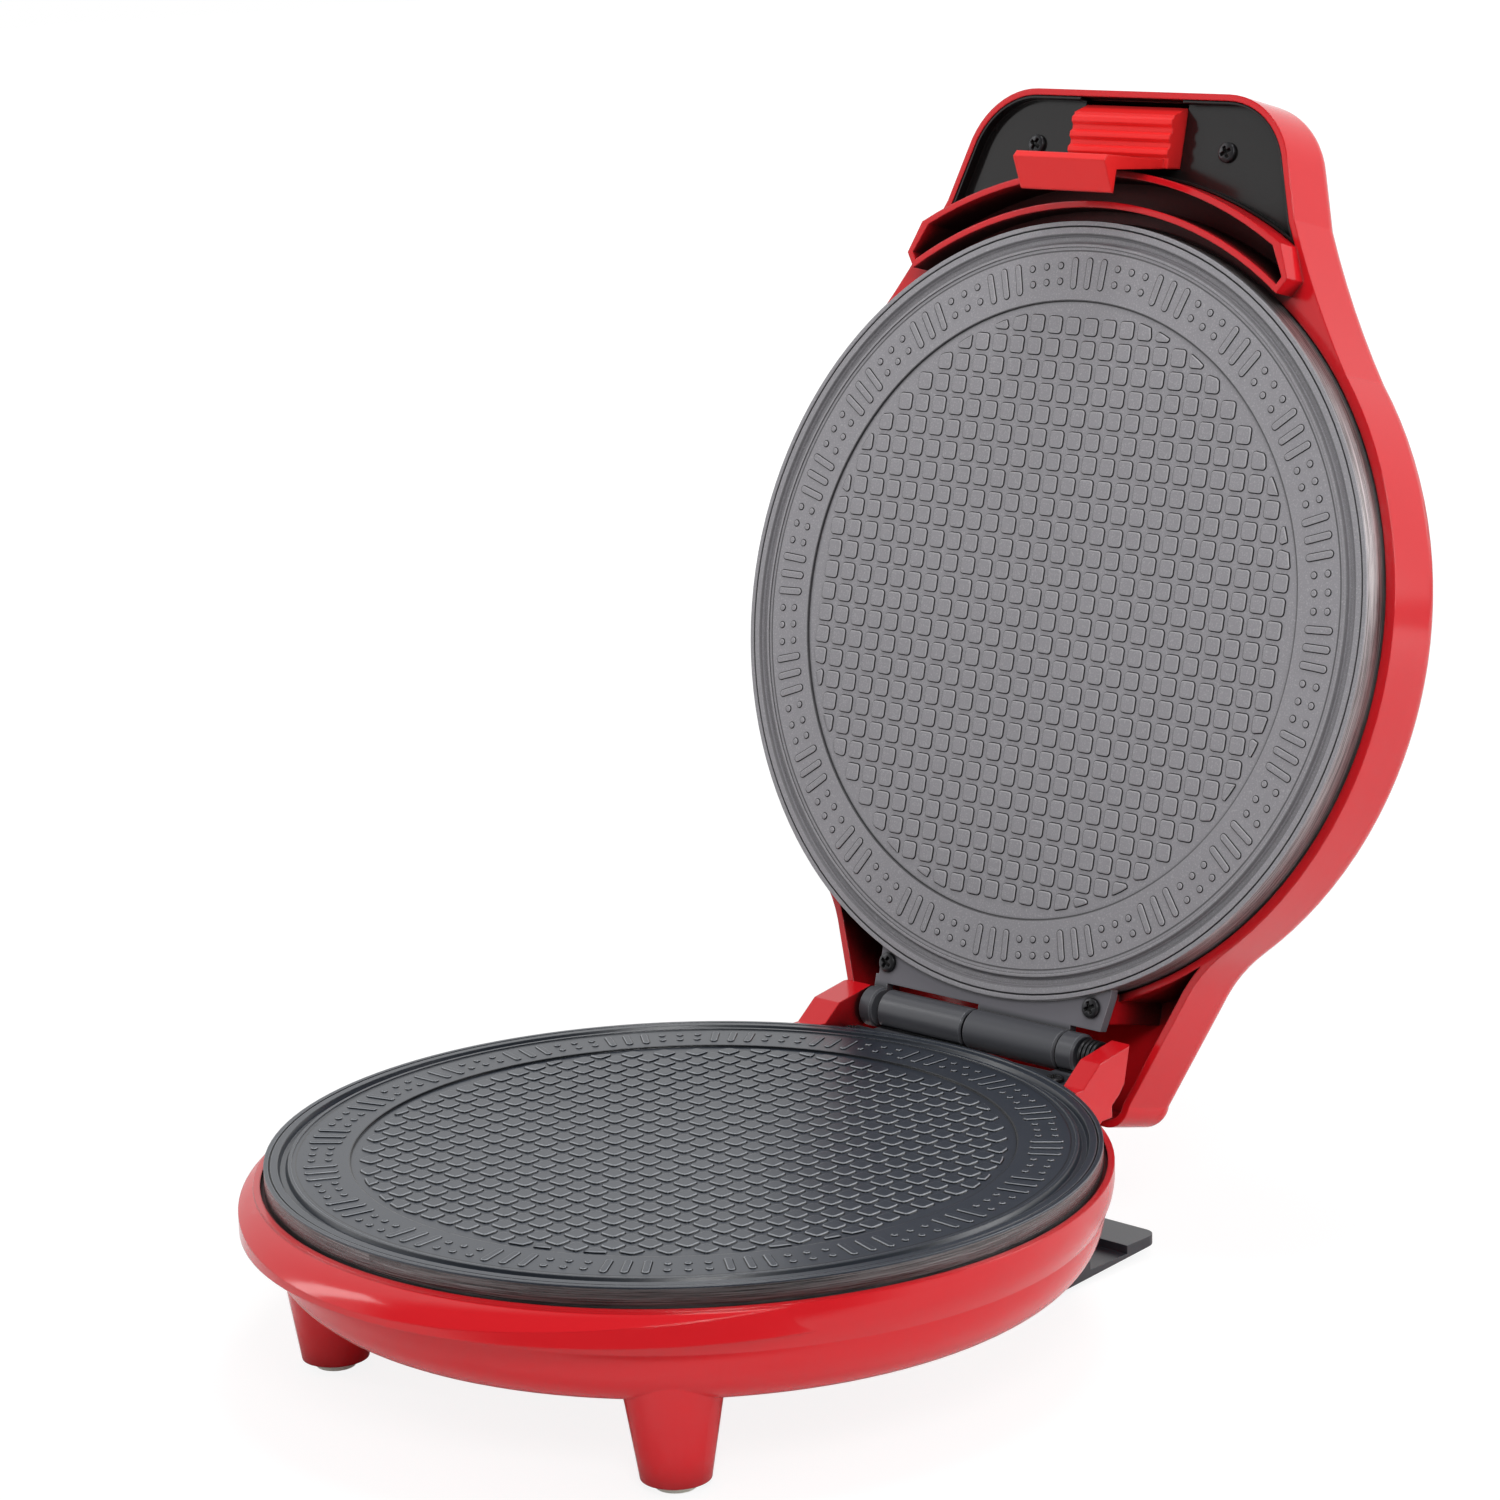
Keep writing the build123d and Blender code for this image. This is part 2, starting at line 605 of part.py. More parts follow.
def base_shell():
    """Moulded bowl with front lip, feet, hinge housing and cheeks."""
    body = bowl_outside() + front_lip()
    housing_in = BOWL_FLAT_R - HOUSING_IN
    seat = -LOWER_FLANGE_DROP - FLANGE_T
    body += block(-CHEEK_OUT, CHEEK_OUT, housing_in, HOUSING_Y, -HOUSING_DEPTH, seat)
    body += cheek(CHEEK_RIGHT_IN)
    body += mirror(cheek(CHEEK_LEFT_IN), about=Plane.YZ)
    foot_low = RIM_Z - FOOT_TIP_OUT
    for side in (-1, 1):
        body += Pos(side * FOOT_X, FOOT_Y, 0) * foot_cone(0.0, foot_low, WAIST_DROP + 6.0)
    boss = Rot(-90, 0, 0) * Cylinder(GLAND_BOSS_R, GLAND_BOSS_Y - GLAND_INNER_Y, align=UP)
    body += Pos(0, GLAND_INNER_Y, -GLAND_DROP) * boss
    body -= bowl_inside()
    body -= column(CREST_R - SHELL_WALL, -LOWER_SKIRT, CHEEK_TOP + 1.0)
    left, right = FLANGE_LEFT + PART_GAP, FLANGE_RIGHT + PART_GAP
    body -= block(-left, right, housing_in, HOUSING_Y, seat, CHEEK_TOP)
    for side in (-1, 1):
        foot = foot_cone(SHELL_WALL, foot_low - FOOT_TIP_IN - SHELL_WALL, FLOOR_INSIDE - 1.0)
        body -= Pos(side * FOOT_X, FOOT_Y, 0) * foot
        body -= column(FOOT_TIP_R, -foot_low, -foot_low + FOOT_TIP_IN, side * FOOT_X, FOOT_Y)
        depth = -LOWER_FLANGE_DROP - SCREW_LENGTH - SEAT_GAP
        body -= column(SCREW_HOLE_R, depth, 0, side * FLANGE_SCREW_X, FLANGE_SCREW_Y)
    tower_top = -SHIELD_DEPTH - SHIELD_T
    for x, y in around(POST_COUNT, POST_CIRCLE_R):
        body += column(POST_R + 1.0, -FLOOR_INSIDE, tower_top, x, y)
        body -= column(SCREW_HEAD_R + SEAT_GAP, -BOWL_BOTTOM, tower_top - 3.0, x, y)
        body -= column(SCREW_HOLE_R, -BOWL_BOTTOM, tower_top, x, y)
    for side in (-1, 1):
        x = side * STAND_SCREW_X
        y = (COLUMN_FRONT + COLUMN_REAR) / 2
        body += column(POST_R, -FLOOR_INSIDE, -FLOOR_INSIDE + 10.0, x, y)
        body -= column(SCREW_HOLE_R, -BOWL_BOTTOM, -FLOOR_INSIDE + 8.0, x, y)
    gland_hole = Rot(-90, 0, 0) * Cylinder(GLAND_R + RUN_GAP, 2 * GLAND_LENGTH, align=UP)
    body -= Pos(0, GLAND_INNER_Y - GLAND_LENGTH, -GLAND_DROP) * gland_hole
    for slot in vents():
        body -= slot
    return body


def foot_tips():
    """Rubber tips set into the front feet."""
    tips = []
    for side in (-1, 1):
        tips.append(column(FOOT_TIP_R, -RIM_Z, -RIM_Z + FOOT_TIP_OUT + FOOT_TIP_IN, side * FOOT_X, FOOT_Y))
    return Compound(children=tips)


# Rear stand

def rear_stand():
    """Low black stand under the hinge: a grooved foot plate and a column."""
    depth = STAND_REAR - STAND_FRONT
    middle = (STAND_REAR + STAND_FRONT) / 2
    side = [
        (STAND_FRONT, STAND_LIFT),
        (STAND_FRONT + STAND_KNEE, STAND_LIFT + 0.5),
        (STAND_REAR, STAND_REAR_LIFT),
        (STAND_REAR, STAND_TOP),
        (STAND_FRONT, STAND_TOP),
    ]
    body = extrude(Plane.YZ * make_face(Polyline(*side, close=True)), STAND_HALF, both=True)
    body &= extrude(Pos(0, middle) * RectangleRounded(2 * STAND_HALF, depth, STAND_CORNER), STAND_TOP)
    groove_rear = STAND_REAR - STAND_BAR
    groove = block(-STAND_HALF, STAND_HALF, groove_rear - STAND_GROOVE, groove_rear, STAND_GROOVE_FLOOR, STAND_TOP)
    body -= groove
    body += block(-COLUMN_HALF, COLUMN_HALF, COLUMN_FRONT, COLUMN_REAR, STAND_LIFT, RIM_Z - BOWL_BOTTOM)
    head_room = RIM_Z - BOWL_BOTTOM - STAND_WALL
    for side in (-1, 1):
        x = side * STAND_SCREW_X
        y = (COLUMN_FRONT + COLUMN_REAR) / 2
        body -= column(SCREW_HEAD_R + SEAT_GAP, STAND_LIFT, head_room, x, y)
        body -= column(SCREW_HOLE_R, head_room, RIM_Z, x, y)
        body -= column(STAND_PAD_R, 0, STAND_PAD_T, side * STAND_PAD_X, STAND_PAD_Y)
    hollow = STAND_SCREW_X - SCREW_HEAD_R - SEAT_GAP - STAND_WALL
    inner = block(-hollow, hollow, COLUMN_FRONT + STAND_WALL, COLUMN_REAR - STAND_WALL, STAND_LIFT, head_room)
    return body - inner


def stand_pads():
    """Rubber pads under the stand."""
    pads = [column(STAND_PAD_R, 0, STAND_PAD_T, side * STAND_PAD_X, STAND_PAD_Y) for side in (-1, 1)]
    return Compound(children=pads)


def stand_screws():
    """Screws that hold the stand under the bowl."""
    head_top = RIM_Z - BOWL_BOTTOM - STAND_WALL - SCREW_HEAD_T
    y = (COLUMN_FRONT + COLUMN_REAR) / 2
    bodies = [screw(s * STAND_SCREW_X, y, head_top, SCREW_LENGTH, -1.0) for s in (-1, 1)]
    return Compound(children=bodies)


# Hinge hardware

def hinge_pin():
    """Steel pin through both plates' barrels."""
    return along_x(PIN_R, PIN_LEFT, PIN_RIGHT, HINGE_Y, HINGE_RISE)


def hinge_spring():
    """Coil around the pin's free end, drawn as a ribbed sleeve."""
    start = LOWER_STUB[1] + SEAT_GAP
    pitch = (PIN_RIGHT - SEAT_GAP - start) / SPRING_TURNS
    inner = PIN_R + SEAT_GAP
    profile = [(inner, start)]
    for k in range(SPRING_TURNS):
        left = start + k * pitch
        profile += [(SPRING_R - SPRING_GROOVE, left), (SPRING_R, left + pitch / 2)]
    end = start + SPRING_TURNS * pitch
    profile += [(SPRING_R - SPRING_GROOVE, end), (inner, end)]
    sleeve = revolve_profile(profile)
    return Pos(0, HINGE_Y, HINGE_RISE) * (Rot(0, 90, 0) * sleeve)


# Electrical pieces in the base

def thermostat():
    """Disc thermostat against the underside of the lower plate."""
    x, y = THERMOSTAT_AT
    body = column(THERMOSTAT_R, -UNDERSIDE - THERMOSTAT_H, -UNDERSIDE, x, y)
    low = -UNDERSIDE - THERMOSTAT_H
    for side in (-1, 1):
        blade = block(x + side * 4.0 - 2.0, x + side * 4.0 + 2.0, y - 0.5, y + 0.5, low - 3.5, low)
        body += blade
    return body


def thermal_fuse():
    """Sleeved thermal fuse on its clip, against the plate."""
    x, y = FUSE_AT
    rod = along_x(FUSE_R, x - FUSE_LENGTH / 2, x + FUSE_LENGTH / 2, y, -UNDERSIDE - FUSE_R)
    clip = block(x - 4.0, x + 4.0, y - FUSE_R - 1.0, y + FUSE_R + 1.0, -UNDERSIDE - FUSE_R, -UNDERSIDE)
    return rod + clip


def terminal_block():
    """Terminal block on the bowl's floor."""
    length, width, height = TERMINAL_SIZE
    low = -FLOOR_INSIDE
    body = block(-length / 2, length / 2, TERMINAL_Y, TERMINAL_Y + width, low, low + height)
    for k in range(3):
        x = (k - 1) * length / 3
        body -= column(2.2, low + height / 2, low + height, x, TERMINAL_Y + width / 2)
    return body


def cord_gland():
    """Gland in the rear of the bowl where the mains cord would enter."""
    tube = Cylinder(GLAND_R, GLAND_BOSS_Y - GLAND_INNER_Y, align=UP)
    head = Pos(0, 0, GLAND_BOSS_Y - GLAND_INNER_Y) * Cylinder(GLAND_HEAD_R, GLAND_HEAD_T, align=UP)
    bore = Cylinder(GLAND_BORE_R, GLAND_BOSS_Y - GLAND_INNER_Y + GLAND_HEAD_T, align=UP)
    return Pos(0, GLAND_INNER_Y, -GLAND_DROP) * (Rot(-90, 0, 0) * (tube + head - bore))


# Lid shell, drawn with the handle on +Y

def lid_outline():
    """Plan of the lid: handle, shoulders, round body and hinge neck."""
    merge = (math.sqrt(LID_R ** 2 - HANDLE_MERGE_Y ** 2), HANDLE_MERGE_Y)
    neck_start = (math.sqrt(LID_R ** 2 - NECK_MERGE_Y ** 2), NECK_MERGE_Y)
    round_flow = (NECK_MERGE_Y, -neck_start[0])
    corner_turn = math.degrees(math.atan2(1.0, HANDLE_TAPER))
    top = Line((0, HANDLE_END), (HANDLE_FLAT_HALF, HANDLE_END))
    corner = JernArc(top @ 1, (1, 0), HANDLE_CORNER_R, -corner_turn)
    side = Line(corner @ 1, HANDLE_SHOULDER)
    blend = ThreePointArc(HANDLE_SHOULDER, HANDLE_WAIST, merge)
    rim = ThreePointArc(merge, (LID_R, 0), neck_start)
    neck = TangentArc(neck_start, NECK_WAIST, tangent=round_flow)
    taper = Line(NECK_WAIST, (NECK_END_HALF, NECK_END + NECK_CORNER))
    neck_corner = ThreePointArc(
        taper @ 1,
        (NECK_END_HALF - 0.3 * NECK_CORNER, NECK_END + 0.3 * NECK_CORNER),
        (NECK_END_HALF - NECK_CORNER, NECK_END),
    )
    end = Line(neck_corner @ 1, (0, NECK_END))
    right = [top, corner, side, blend, rim, neck, taper, neck_corner, end]
    left = [mirror(edge, about=Plane.YZ) for edge in right]
    return make_face(right + left)


def lid_band(low, high):
    """Rectangle that picks out the lid's plan between two places along it."""
    return Pos(0, (low + high) / 2) * Rectangle(3 * LID_R, high - low)


def panel_plan(inset, round_r):
    """Plan of the handle's face between its border and the channel."""
    inner = offset(lid_outline(), -inset) & lid_band(HANDLE_MERGE_Y, HANDLE_END)
    return inner - Circle(round_r)


def channel_plan(grow):
    """Plan of the crescent channel's hollow, grown outwards for its wall."""
    spread = math.degrees(grow / CHANNEL_OUT)
    corners = [
        (CHANNEL_OUT + grow, CHANNEL_ANGLE + spread),
        (CHANNEL_END_R + grow / 2, CHANNEL_END_ANGLE + spread),
        (CHANNEL_IN - grow, CHANNEL_END_ANGLE + spread),
    ]
    right = [(r * math.sin(math.radians(a)), r * math.cos(math.radians(a))) for r, a in corners]
    left = [(-x, y) for x, y in right]
    edge = [
        ThreePointArc(left[0], (0, CHANNEL_OUT + grow), right[0]),
        Polyline(*right),
        ThreePointArc(right[-1], (0, CHANNEL_IN - grow), left[-1]),
        Polyline(*reversed(left)),
    ]
    return make_face(edge)


def lid_cavity():
    """Room for the upper plate, its ledge and the space behind it."""
    ledge_high = UPPER_SKIRT + LID_WALL
    profile = [
        (0, 0),
        (LID_BORE_R, 0),
        (LID_BORE_R, UPPER_SKIRT),
        (LID_LEDGE_R, UPPER_SKIRT),
        (LID_LEDGE_R, ledge_high),
        (LID_BORE_R, ledge_high + LID_WALL),
        (LID_BORE_R, LID_INSIDE - 6.0),
        (LID_BORE_R - 6.0, LID_INSIDE),
        (0, LID_INSIDE),
    ]
    return revolve_profile(profile)


def neck_pocket():
    """Hollow of the neck, open to the front, round the hinge barrels."""
    plan = offset(lid_outline(), -LID_WALL) & lid_band(NECK_END, -100.0)
    plan -= Circle(RIB_R)
    plan -= Pos(0, PLATFORM_END / 2) * Rectangle(2 * PLATFORM_HALF, -PLATFORM_END)
    return Pos(0, 0, LID_FACE) * extrude(plan, LID_INSIDE - LID_FACE)


def platform():
    """Raised seat under the upper plate's ear."""
    plan = Pos(0, PLATFORM_END + 25.0) * Rectangle(2 * PLATFORM_HALF, 50.0)
    plan -= Circle(LID_BORE_R)
    low = UPPER_FLANGE_DROP + FLANGE_T
    return Pos(0, 0, low) * extrude(plan, LID_FACE + LID_WALL - low)


def lid_shell():
    """Moulded lid with handle, crescent channel and hinge neck."""
    body = Pos(0, 0, LID_FACE) * extrude(lid_outline(), LID_TOP - LID_FACE)
    rim_edges = body.edges().filter_by_position(Axis.Z, LID_TOP - 0.01, LID_TOP + 0.01)
    body = fillet(rim_edges, LID_EDGE)
    body += Pos(0, 0, CHANNEL_FACE) * extrude(channel_plan(CHANNEL_WALL), LID_FACE + LID_WALL - CHANNEL_FACE)
    body += platform()
    body -= lid_cavity()
    body -= neck_pocket()
    body -= Pos(0, 0, CHANNEL_FACE) * extrude(channel_plan(0.0), CHANNEL_FLOOR - CHANNEL_FACE)
    recess = panel_plan(HANDLE_BORDER, CHANNEL_OUT + CHANNEL_WALL)
    body -= Pos(0, 0, LID_FACE) * extrude(recess, PANEL_BACK - LID_FACE)
    hollow = panel_plan(LID_WALL + PANEL_SEAT, CHANNEL_OUT + CHANNEL_WALL + PANEL_SEAT)
    body -= Pos(0, 0, PANEL_BACK) * extrude(hollow, LID_INSIDE - PANEL_BACK)
    below = panel_plan(LID_WALL + PANEL_SEAT, LID_R)
    floor = CHANNEL_FLOOR + CHANNEL_WALL
    body -= Pos(0, 0, floor) * extrude(below, LID_INSIDE - floor)
    well_half = LATCH_HALF + PART_GAP
    well_end = HANDLE_END - LID_WALL
    body -= block(-well_half, well_half, CHANNEL_OUT + CHANNEL_WALL + 1.5, well_end, PANEL_FACE, LATCH_BACK + 8.0)
    for side in (-1, 1):
        x = side * PANEL_SCREW_X
        body += column(POST_R, PANEL_BACK, LID_INSIDE, x, PANEL_SCREW_Y)
        body -= column(SCREW_HOLE_R, PANEL_FACE, PANEL_FACE + SCREW_LENGTH + SEAT_GAP, x, PANEL_SCREW_Y)
        wall = sorted((side * BRACKET_IN, side * (BRACKET_IN + BRACKET_T)))
        body += block(wall[0], wall[1], LATCH_PIN_Y - 6, LATCH_PIN_Y + 6, PANEL_BACK, LID_INSIDE)
        x = side * FLANGE_SCREW_X
        depth = UPPER_FLANGE_DROP + SCREW_LENGTH + SEAT_GAP
        body -= column(SCREW_HOLE_R, 0, depth, x, -FLANGE_SCREW_Y)
        body -= column(LENS_R + RUN_GAP, LID_INSIDE, LID_TOP, side * LENS_X, LENS_Y)
    reach = BRACKET_IN + BRACKET_T + SEAT_GAP
    body -= along_x(LATCH_PIN_R + RUN_GAP, -reach, reach, LATCH_PIN_Y, LATCH_PIN_Z)
    tower_low = SHIELD_DEPTH + SHIELD_T
    for x, y in around(POST_COUNT, POST_CIRCLE_R, -90.0):
        body += column(POST_R + 1.0, tower_low, LID_INSIDE, x, y)
    return body


def handle_panel():
    """Glossy panel in the handle's face, open where the latch passes."""
    side, round_r = HANDLE_BORDER + SEAT_GAP, CHANNEL_OUT + CHANNEL_WALL + SEAT_GAP
    plan = panel_plan(side, round_r)
    body = Pos(0, 0, PANEL_FACE) * extrude(plan, PANEL_T)
    rim = plan - panel_plan(side + PANEL_RIM, round_r + PANEL_RIM)
    rim_low = LID_FACE + PANEL_RIM_DROP
    body += Pos(0, 0, rim_low) * extrude(rim, PANEL_FACE - rim_low)
    half = LATCH_HALF + PART_GAP / 2
    body -= block(-half, half, LATCH_FOOT_Y - PART_GAP / 2, HANDLE_END, 0, LID_TOP)
    for side in (-1, 1):
        body -= column(SCREW_HOLE_R, 0, LID_TOP, side * PANEL_SCREW_X, PANEL_SCREW_Y)
    return body


def panel_screws():
    """The two screws in the handle panel."""
    bodies = []
    for side in (-1, 1):
        top = PANEL_FACE - SCREW_HEAD_T
        bodies.append(screw(side * PANEL_SCREW_X, PANEL_SCREW_Y, top, SCREW_LENGTH, -1.0))
    return Compound(children=bodies)


def indicator_lens(x):
    """Round indicator lens in the lid's top."""
    return column(LENS_R, LID_TOP - LENS_DEPTH, LID_TOP + LENS_OUT, x, LENS_Y)


# Latch, drawn with the handle on +Y

def latch():
    """Hooked latch: ribbed thumb pad, arm and lip, turning on its pin."""
    pad_end = LATCH_END_Y - 4.0
    pad_start = LATCH_FOOT_Y + 2.0
    pitch = (pad_end - pad_start) / LATCH_RIBS
    ribs = []
    for k in range(LATCH_RIBS):
        left = pad_start + k * pitch
        ribs += [(left + 0.15 * pitch, LATCH_PAD_TOP), (left + 0.35 * pitch, LATCH_PAD_TOP - 1.2)]
        ribs += [(left + 0.65 * pitch, LATCH_PAD_TOP - 1.2), (left + 0.85 * pitch, LATCH_PAD_TOP)]
    pad = [(LATCH_FOOT_Y, LATCH_BACK), (LATCH_FOOT_Y, PANEL_FACE), (LATCH_FOOT_Y - 1.2, LATCH_PAD_TOP)]
    pad += ribs
    pad += [(pad_end, LATCH_PAD_TOP), (LATCH_END_Y, PANEL_FACE), (LATCH_END_Y - 1.5, LATCH_BACK)]
    arm = [
        (LATCH_FOOT_Y, PANEL_FACE),
        (LATCH_ARM_Y, -LATCH_CATCH),
        (LATCH_TIP_Y, -LATCH_CATCH),
        (LATCH_TIP_Y + 0.3, -LATCH_CATCH - 1.0),
        (LATCH_ARM_Y + 2.2, -LATCH_CATCH - 8.3),
        (LATCH_ARM_Y + 4.7, -LATCH_CATCH - 6.5),
        (LATCH_FOOT_Y + 2.0, LATCH_PAD_TOP - 2.0),
        (LATCH_FOOT_Y + 4.0, PANEL_FACE),
    ]
    pad_body = extrude(Plane.YZ * make_face(Polyline(*pad, close=True)), LATCH_HALF, both=True)
    arm_body = extrude(Plane.YZ * make_face(Polyline(*arm, close=True)), LATCH_LIP_HALF, both=True)
    hub = along_x(LATCH_HUB_R, -LATCH_HALF, LATCH_HALF, LATCH_PIN_Y, LATCH_PIN_Z)
    body = pad_body + arm_body + hub
    body -= along_x(LATCH_PIN_R + RUN_GAP, -LATCH_HALF, LATCH_HALF, LATCH_PIN_Y, LATCH_PIN_Z)
    room = LATCH_SPRING_HALF + SEAT_GAP
    body -= along_x(LATCH_HUB_R + SEAT_GAP, -room, room, LATCH_PIN_Y, LATCH_PIN_Z)
    body -= block(-room, room, LATCH_PIN_Y - LATCH_HUB_R, LATCH_PIN_Y + LATCH_HUB_R, LATCH_PIN_Z, LID_TOP)
    return body


def latch_pin():
    """Steel pin between the two brackets behind the panel."""
    end = BRACKET_IN + BRACKET_T
    return along_x(LATCH_PIN_R, -end, end, LATCH_PIN_Y, LATCH_PIN_Z)


def latch_spring():
    """Torsion spring round the latch pin, drawn as its coil's sleeve."""
    half = LATCH_SPRING_HALF
    coil = along_x(LATCH_HUB_R - 1.0, -half, half, LATCH_PIN_Y, LATCH_PIN_Z)
    return coil - along_x(LATCH_PIN_R + RUN_GAP, -half, half, LATCH_PIN_Y, LATCH_PIN_Z)


def lid_heater(shape):
    """Turn a piece drawn under the lower plate over, into the lid."""
    return mirror(shape, about=Plane.XY)


def all_parts():
    """Every node of the assembly by name, in the open position."""
    base = {
        "base_shell": base_shell(),
        "lower_plate": drilled_for_plate_screws(lower_plate()),
        "lower_heating_element": heating_element(),
        "lower_heat_shield": heat_shield(),
        "lower_flange_screws": flange_screws(LOWER_FLANGE_DROP),
        "lower_plate_screws": plate_screws(),
        "front_foot_tips": foot_tips(),
        "hinge_pin": hinge_pin(),
        "hinge_spring": hinge_spring(),
        "thermostat": thermostat(),
        "thermal_fuse": thermal_fuse(),
        "terminal_block": terminal_block(),
        "cord_gland": cord_gland(),
    }
    floor = {
        "rear_stand": rear_stand(),
        "rear_stand_pads": stand_pads(),
        "rear_stand_screws": stand_screws(),
    }
    hinged = {
        "upper_plate": upper_plate(),
        "upper_heating_element": lid_heater(heating_element()),
        "upper_heat_shield": lid_heater(heat_shield()),
        "upper_flange_screws": lid_heater(flange_screws(UPPER_FLANGE_DROP)),
    }
    handled = {
        "lid_shell": lid_shell(),
        "handle_panel": handle_panel(),
        "handle_panel_screws": panel_screws(),
        "power_light_lens": indicator_lens(-LENS_X),
        "ready_light_lens": indicator_lens(LENS_X),
        "latch": latch(),
        "latch_pin": latch_pin(),
        "latch_spring": latch_spring(),
    }
    parts = {name: lifted(shape) for name, shape in base.items()}
    parts.update(floor)
    parts.update({name: opened(shape) for name, shape in hinged.items()})
    parts.update({name: opened(handle_first(shape)) for name, shape in handled.items()})
    return centred(parts)


def centred(parts):
    """Put the origin under the middle of the whole object's outer box."""
    boxes = [shape.bounding_box() for shape in parts.values()]
    front = min(box.min.Y for box in boxes)
    rear = max(box.max.Y for box in boxes)
    return {name: Pos(0, -(front + rear) / 2, 0) * shape for name, shape in parts.items()}


os.makedirs("parts", exist_ok=True)
for name, shape in all_parts().items():
    export_step(shape, f"parts/{name}.step")
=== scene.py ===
import json
import math

import bpy
import numpy as np
from mathutils import Matrix, Vector


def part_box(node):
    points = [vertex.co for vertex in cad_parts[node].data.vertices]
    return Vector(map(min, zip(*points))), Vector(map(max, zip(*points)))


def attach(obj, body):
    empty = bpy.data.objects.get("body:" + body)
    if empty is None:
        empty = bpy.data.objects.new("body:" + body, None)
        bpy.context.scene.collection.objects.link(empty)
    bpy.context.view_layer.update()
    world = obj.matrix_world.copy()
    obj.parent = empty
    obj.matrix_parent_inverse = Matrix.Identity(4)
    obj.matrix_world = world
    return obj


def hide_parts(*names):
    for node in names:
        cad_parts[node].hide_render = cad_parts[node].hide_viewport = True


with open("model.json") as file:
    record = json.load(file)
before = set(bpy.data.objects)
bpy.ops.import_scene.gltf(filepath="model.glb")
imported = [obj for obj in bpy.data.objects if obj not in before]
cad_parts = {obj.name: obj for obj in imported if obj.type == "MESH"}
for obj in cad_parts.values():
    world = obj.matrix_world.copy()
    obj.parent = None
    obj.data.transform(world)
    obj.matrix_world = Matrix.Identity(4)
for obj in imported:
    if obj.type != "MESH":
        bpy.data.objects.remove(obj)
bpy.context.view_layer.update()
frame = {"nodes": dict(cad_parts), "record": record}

bl_info = {
    "name": "Hinged waffle cooker",
    "version": (1, 0, 0),
    "blender": (4, 5, 0),
    "location": "View3D > Sidebar > Cooker",
    "description": "Finishes and fine parts of a round hinged countertop cooker",
    "category": "Object",
}

MM = 0.001
WHITE = (1.0, 1.0, 1.0)


def mm(*lengths):
    """Lengths written in millimetres, in metres."""
    return tuple(length * MM for length in lengths)


# Places taken from the frame

def joint_named(name):
    """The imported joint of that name."""
    return next(j for j in frame["record"]["behaviour"]["joints"] if j["name"] == name)


HINGE = np.array(joint_named("lid_hinge")["pos_m"])
OPEN_TURN = math.radians(joint_named("lid_hinge")["range_deg"][1])
# The hinge pin lies this far behind and above the middle of the lower rim. Shut rims stay RIM_GAP apart.
HINGE_BACK = 166.4 * MM
HINGE_RISE = 2.5 * MM
RIM_GAP = 1.0 * MM
AXIS_X = np.array([1.0, 0.0, 0.0])
AXIS_Y = np.array([0.0, 1.0, 0.0])
AXIS_Z = np.array([0.0, 0.0, 1.0])
LID_U = np.array([0.0, -math.cos(OPEN_TURN), math.sin(OPEN_TURN)])
LID_N = np.array([0.0, -math.sin(OPEN_TURN), -math.cos(OPEN_TURN)])
BASE_CENTRE = HINGE - AXIS_Y * HINGE_BACK - AXIS_Z * HINGE_RISE
LID_CENTRE = HINGE + LID_U * HINGE_BACK + LID_N * (HINGE_RISE - RIM_GAP)


def on_base(points):
    """Points (across, back, up) in millimetres from the lower rim's centre, put in the frame."""
    p = np.asarray(points) * MM
    return BASE_CENTRE + p[..., :1] * AXIS_X + p[..., 1:2] * AXIS_Y + p[..., 2:] * AXIS_Z


def on_lid(points):
    """Points (across, towards the handle, out of the cooking face) of the open lid, likewise."""
    p = np.asarray(points) * MM
    return LID_CENTRE + p[..., :1] * AXIS_X + p[..., 1:2] * LID_U + p[..., 2:] * LID_N


# Surfaces

def grid_quads(rows, columns, wrap_rows=False, wrap_columns=False):
    """Quads of a grid of points: each joins a point to the next row's and column's."""
    r = np.arange(rows if wrap_rows else rows - 1)
    c = np.arange(columns if wrap_columns else columns - 1)
    i, j = np.meshgrid(r, c, indexing="ij")
    i2, j2 = (i + 1) % rows, (j + 1) % columns
    here, across = i * columns + j, i * columns + j2
    opposite, below = i2 * columns + j2, i2 * columns + j
    return np.stack([here, across, opposite, below], axis=-1).reshape(-1, 4)


def make_piece(name, points, faces, material, body, smooth=True, tones=None):
    """A new mesh object whose place is in its mesh, riding on a body.
    faces is a list of index arrays, one array for each number of corners,
    and tones holds values for each face by attribute name."""
    mesh = bpy.data.meshes.new(name)
    points = np.asarray(points, dtype=np.float64).reshape(-1, 3)
    loops = np.concatenate([f.reshape(-1) for f in faces]).astype(np.int32)
    corners = np.concatenate([np.full(len(f), f.shape[1]) for f in faces]).astype(np.int32)
    starts = np.concatenate([[0], np.cumsum(corners)[:-1]]).astype(np.int32)
    mesh.vertices.add(len(points))
    mesh.vertices.foreach_set("co", points.reshape(-1))
    mesh.loops.add(len(loops))
    mesh.loops.foreach_set("vertex_index", loops)
    mesh.polygons.add(len(corners))
    mesh.polygons.foreach_set("loop_start", starts)
    mesh.polygons.foreach_set("use_smooth", np.full(len(corners), smooth))
    mesh.update(calc_edges=True)
    for key, values in (tones or {}).items():
        layer = mesh.attributes.new(key, "FLOAT", "FACE")
        layer.data.foreach_set("value", values.astype(np.float32))
    mesh.validate()
    piece = bpy.data.objects.new(name, mesh)
    bpy.context.scene.collection.objects.link(piece)
    piece.data.materials.append(material)
    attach(piece, body)
    return piece


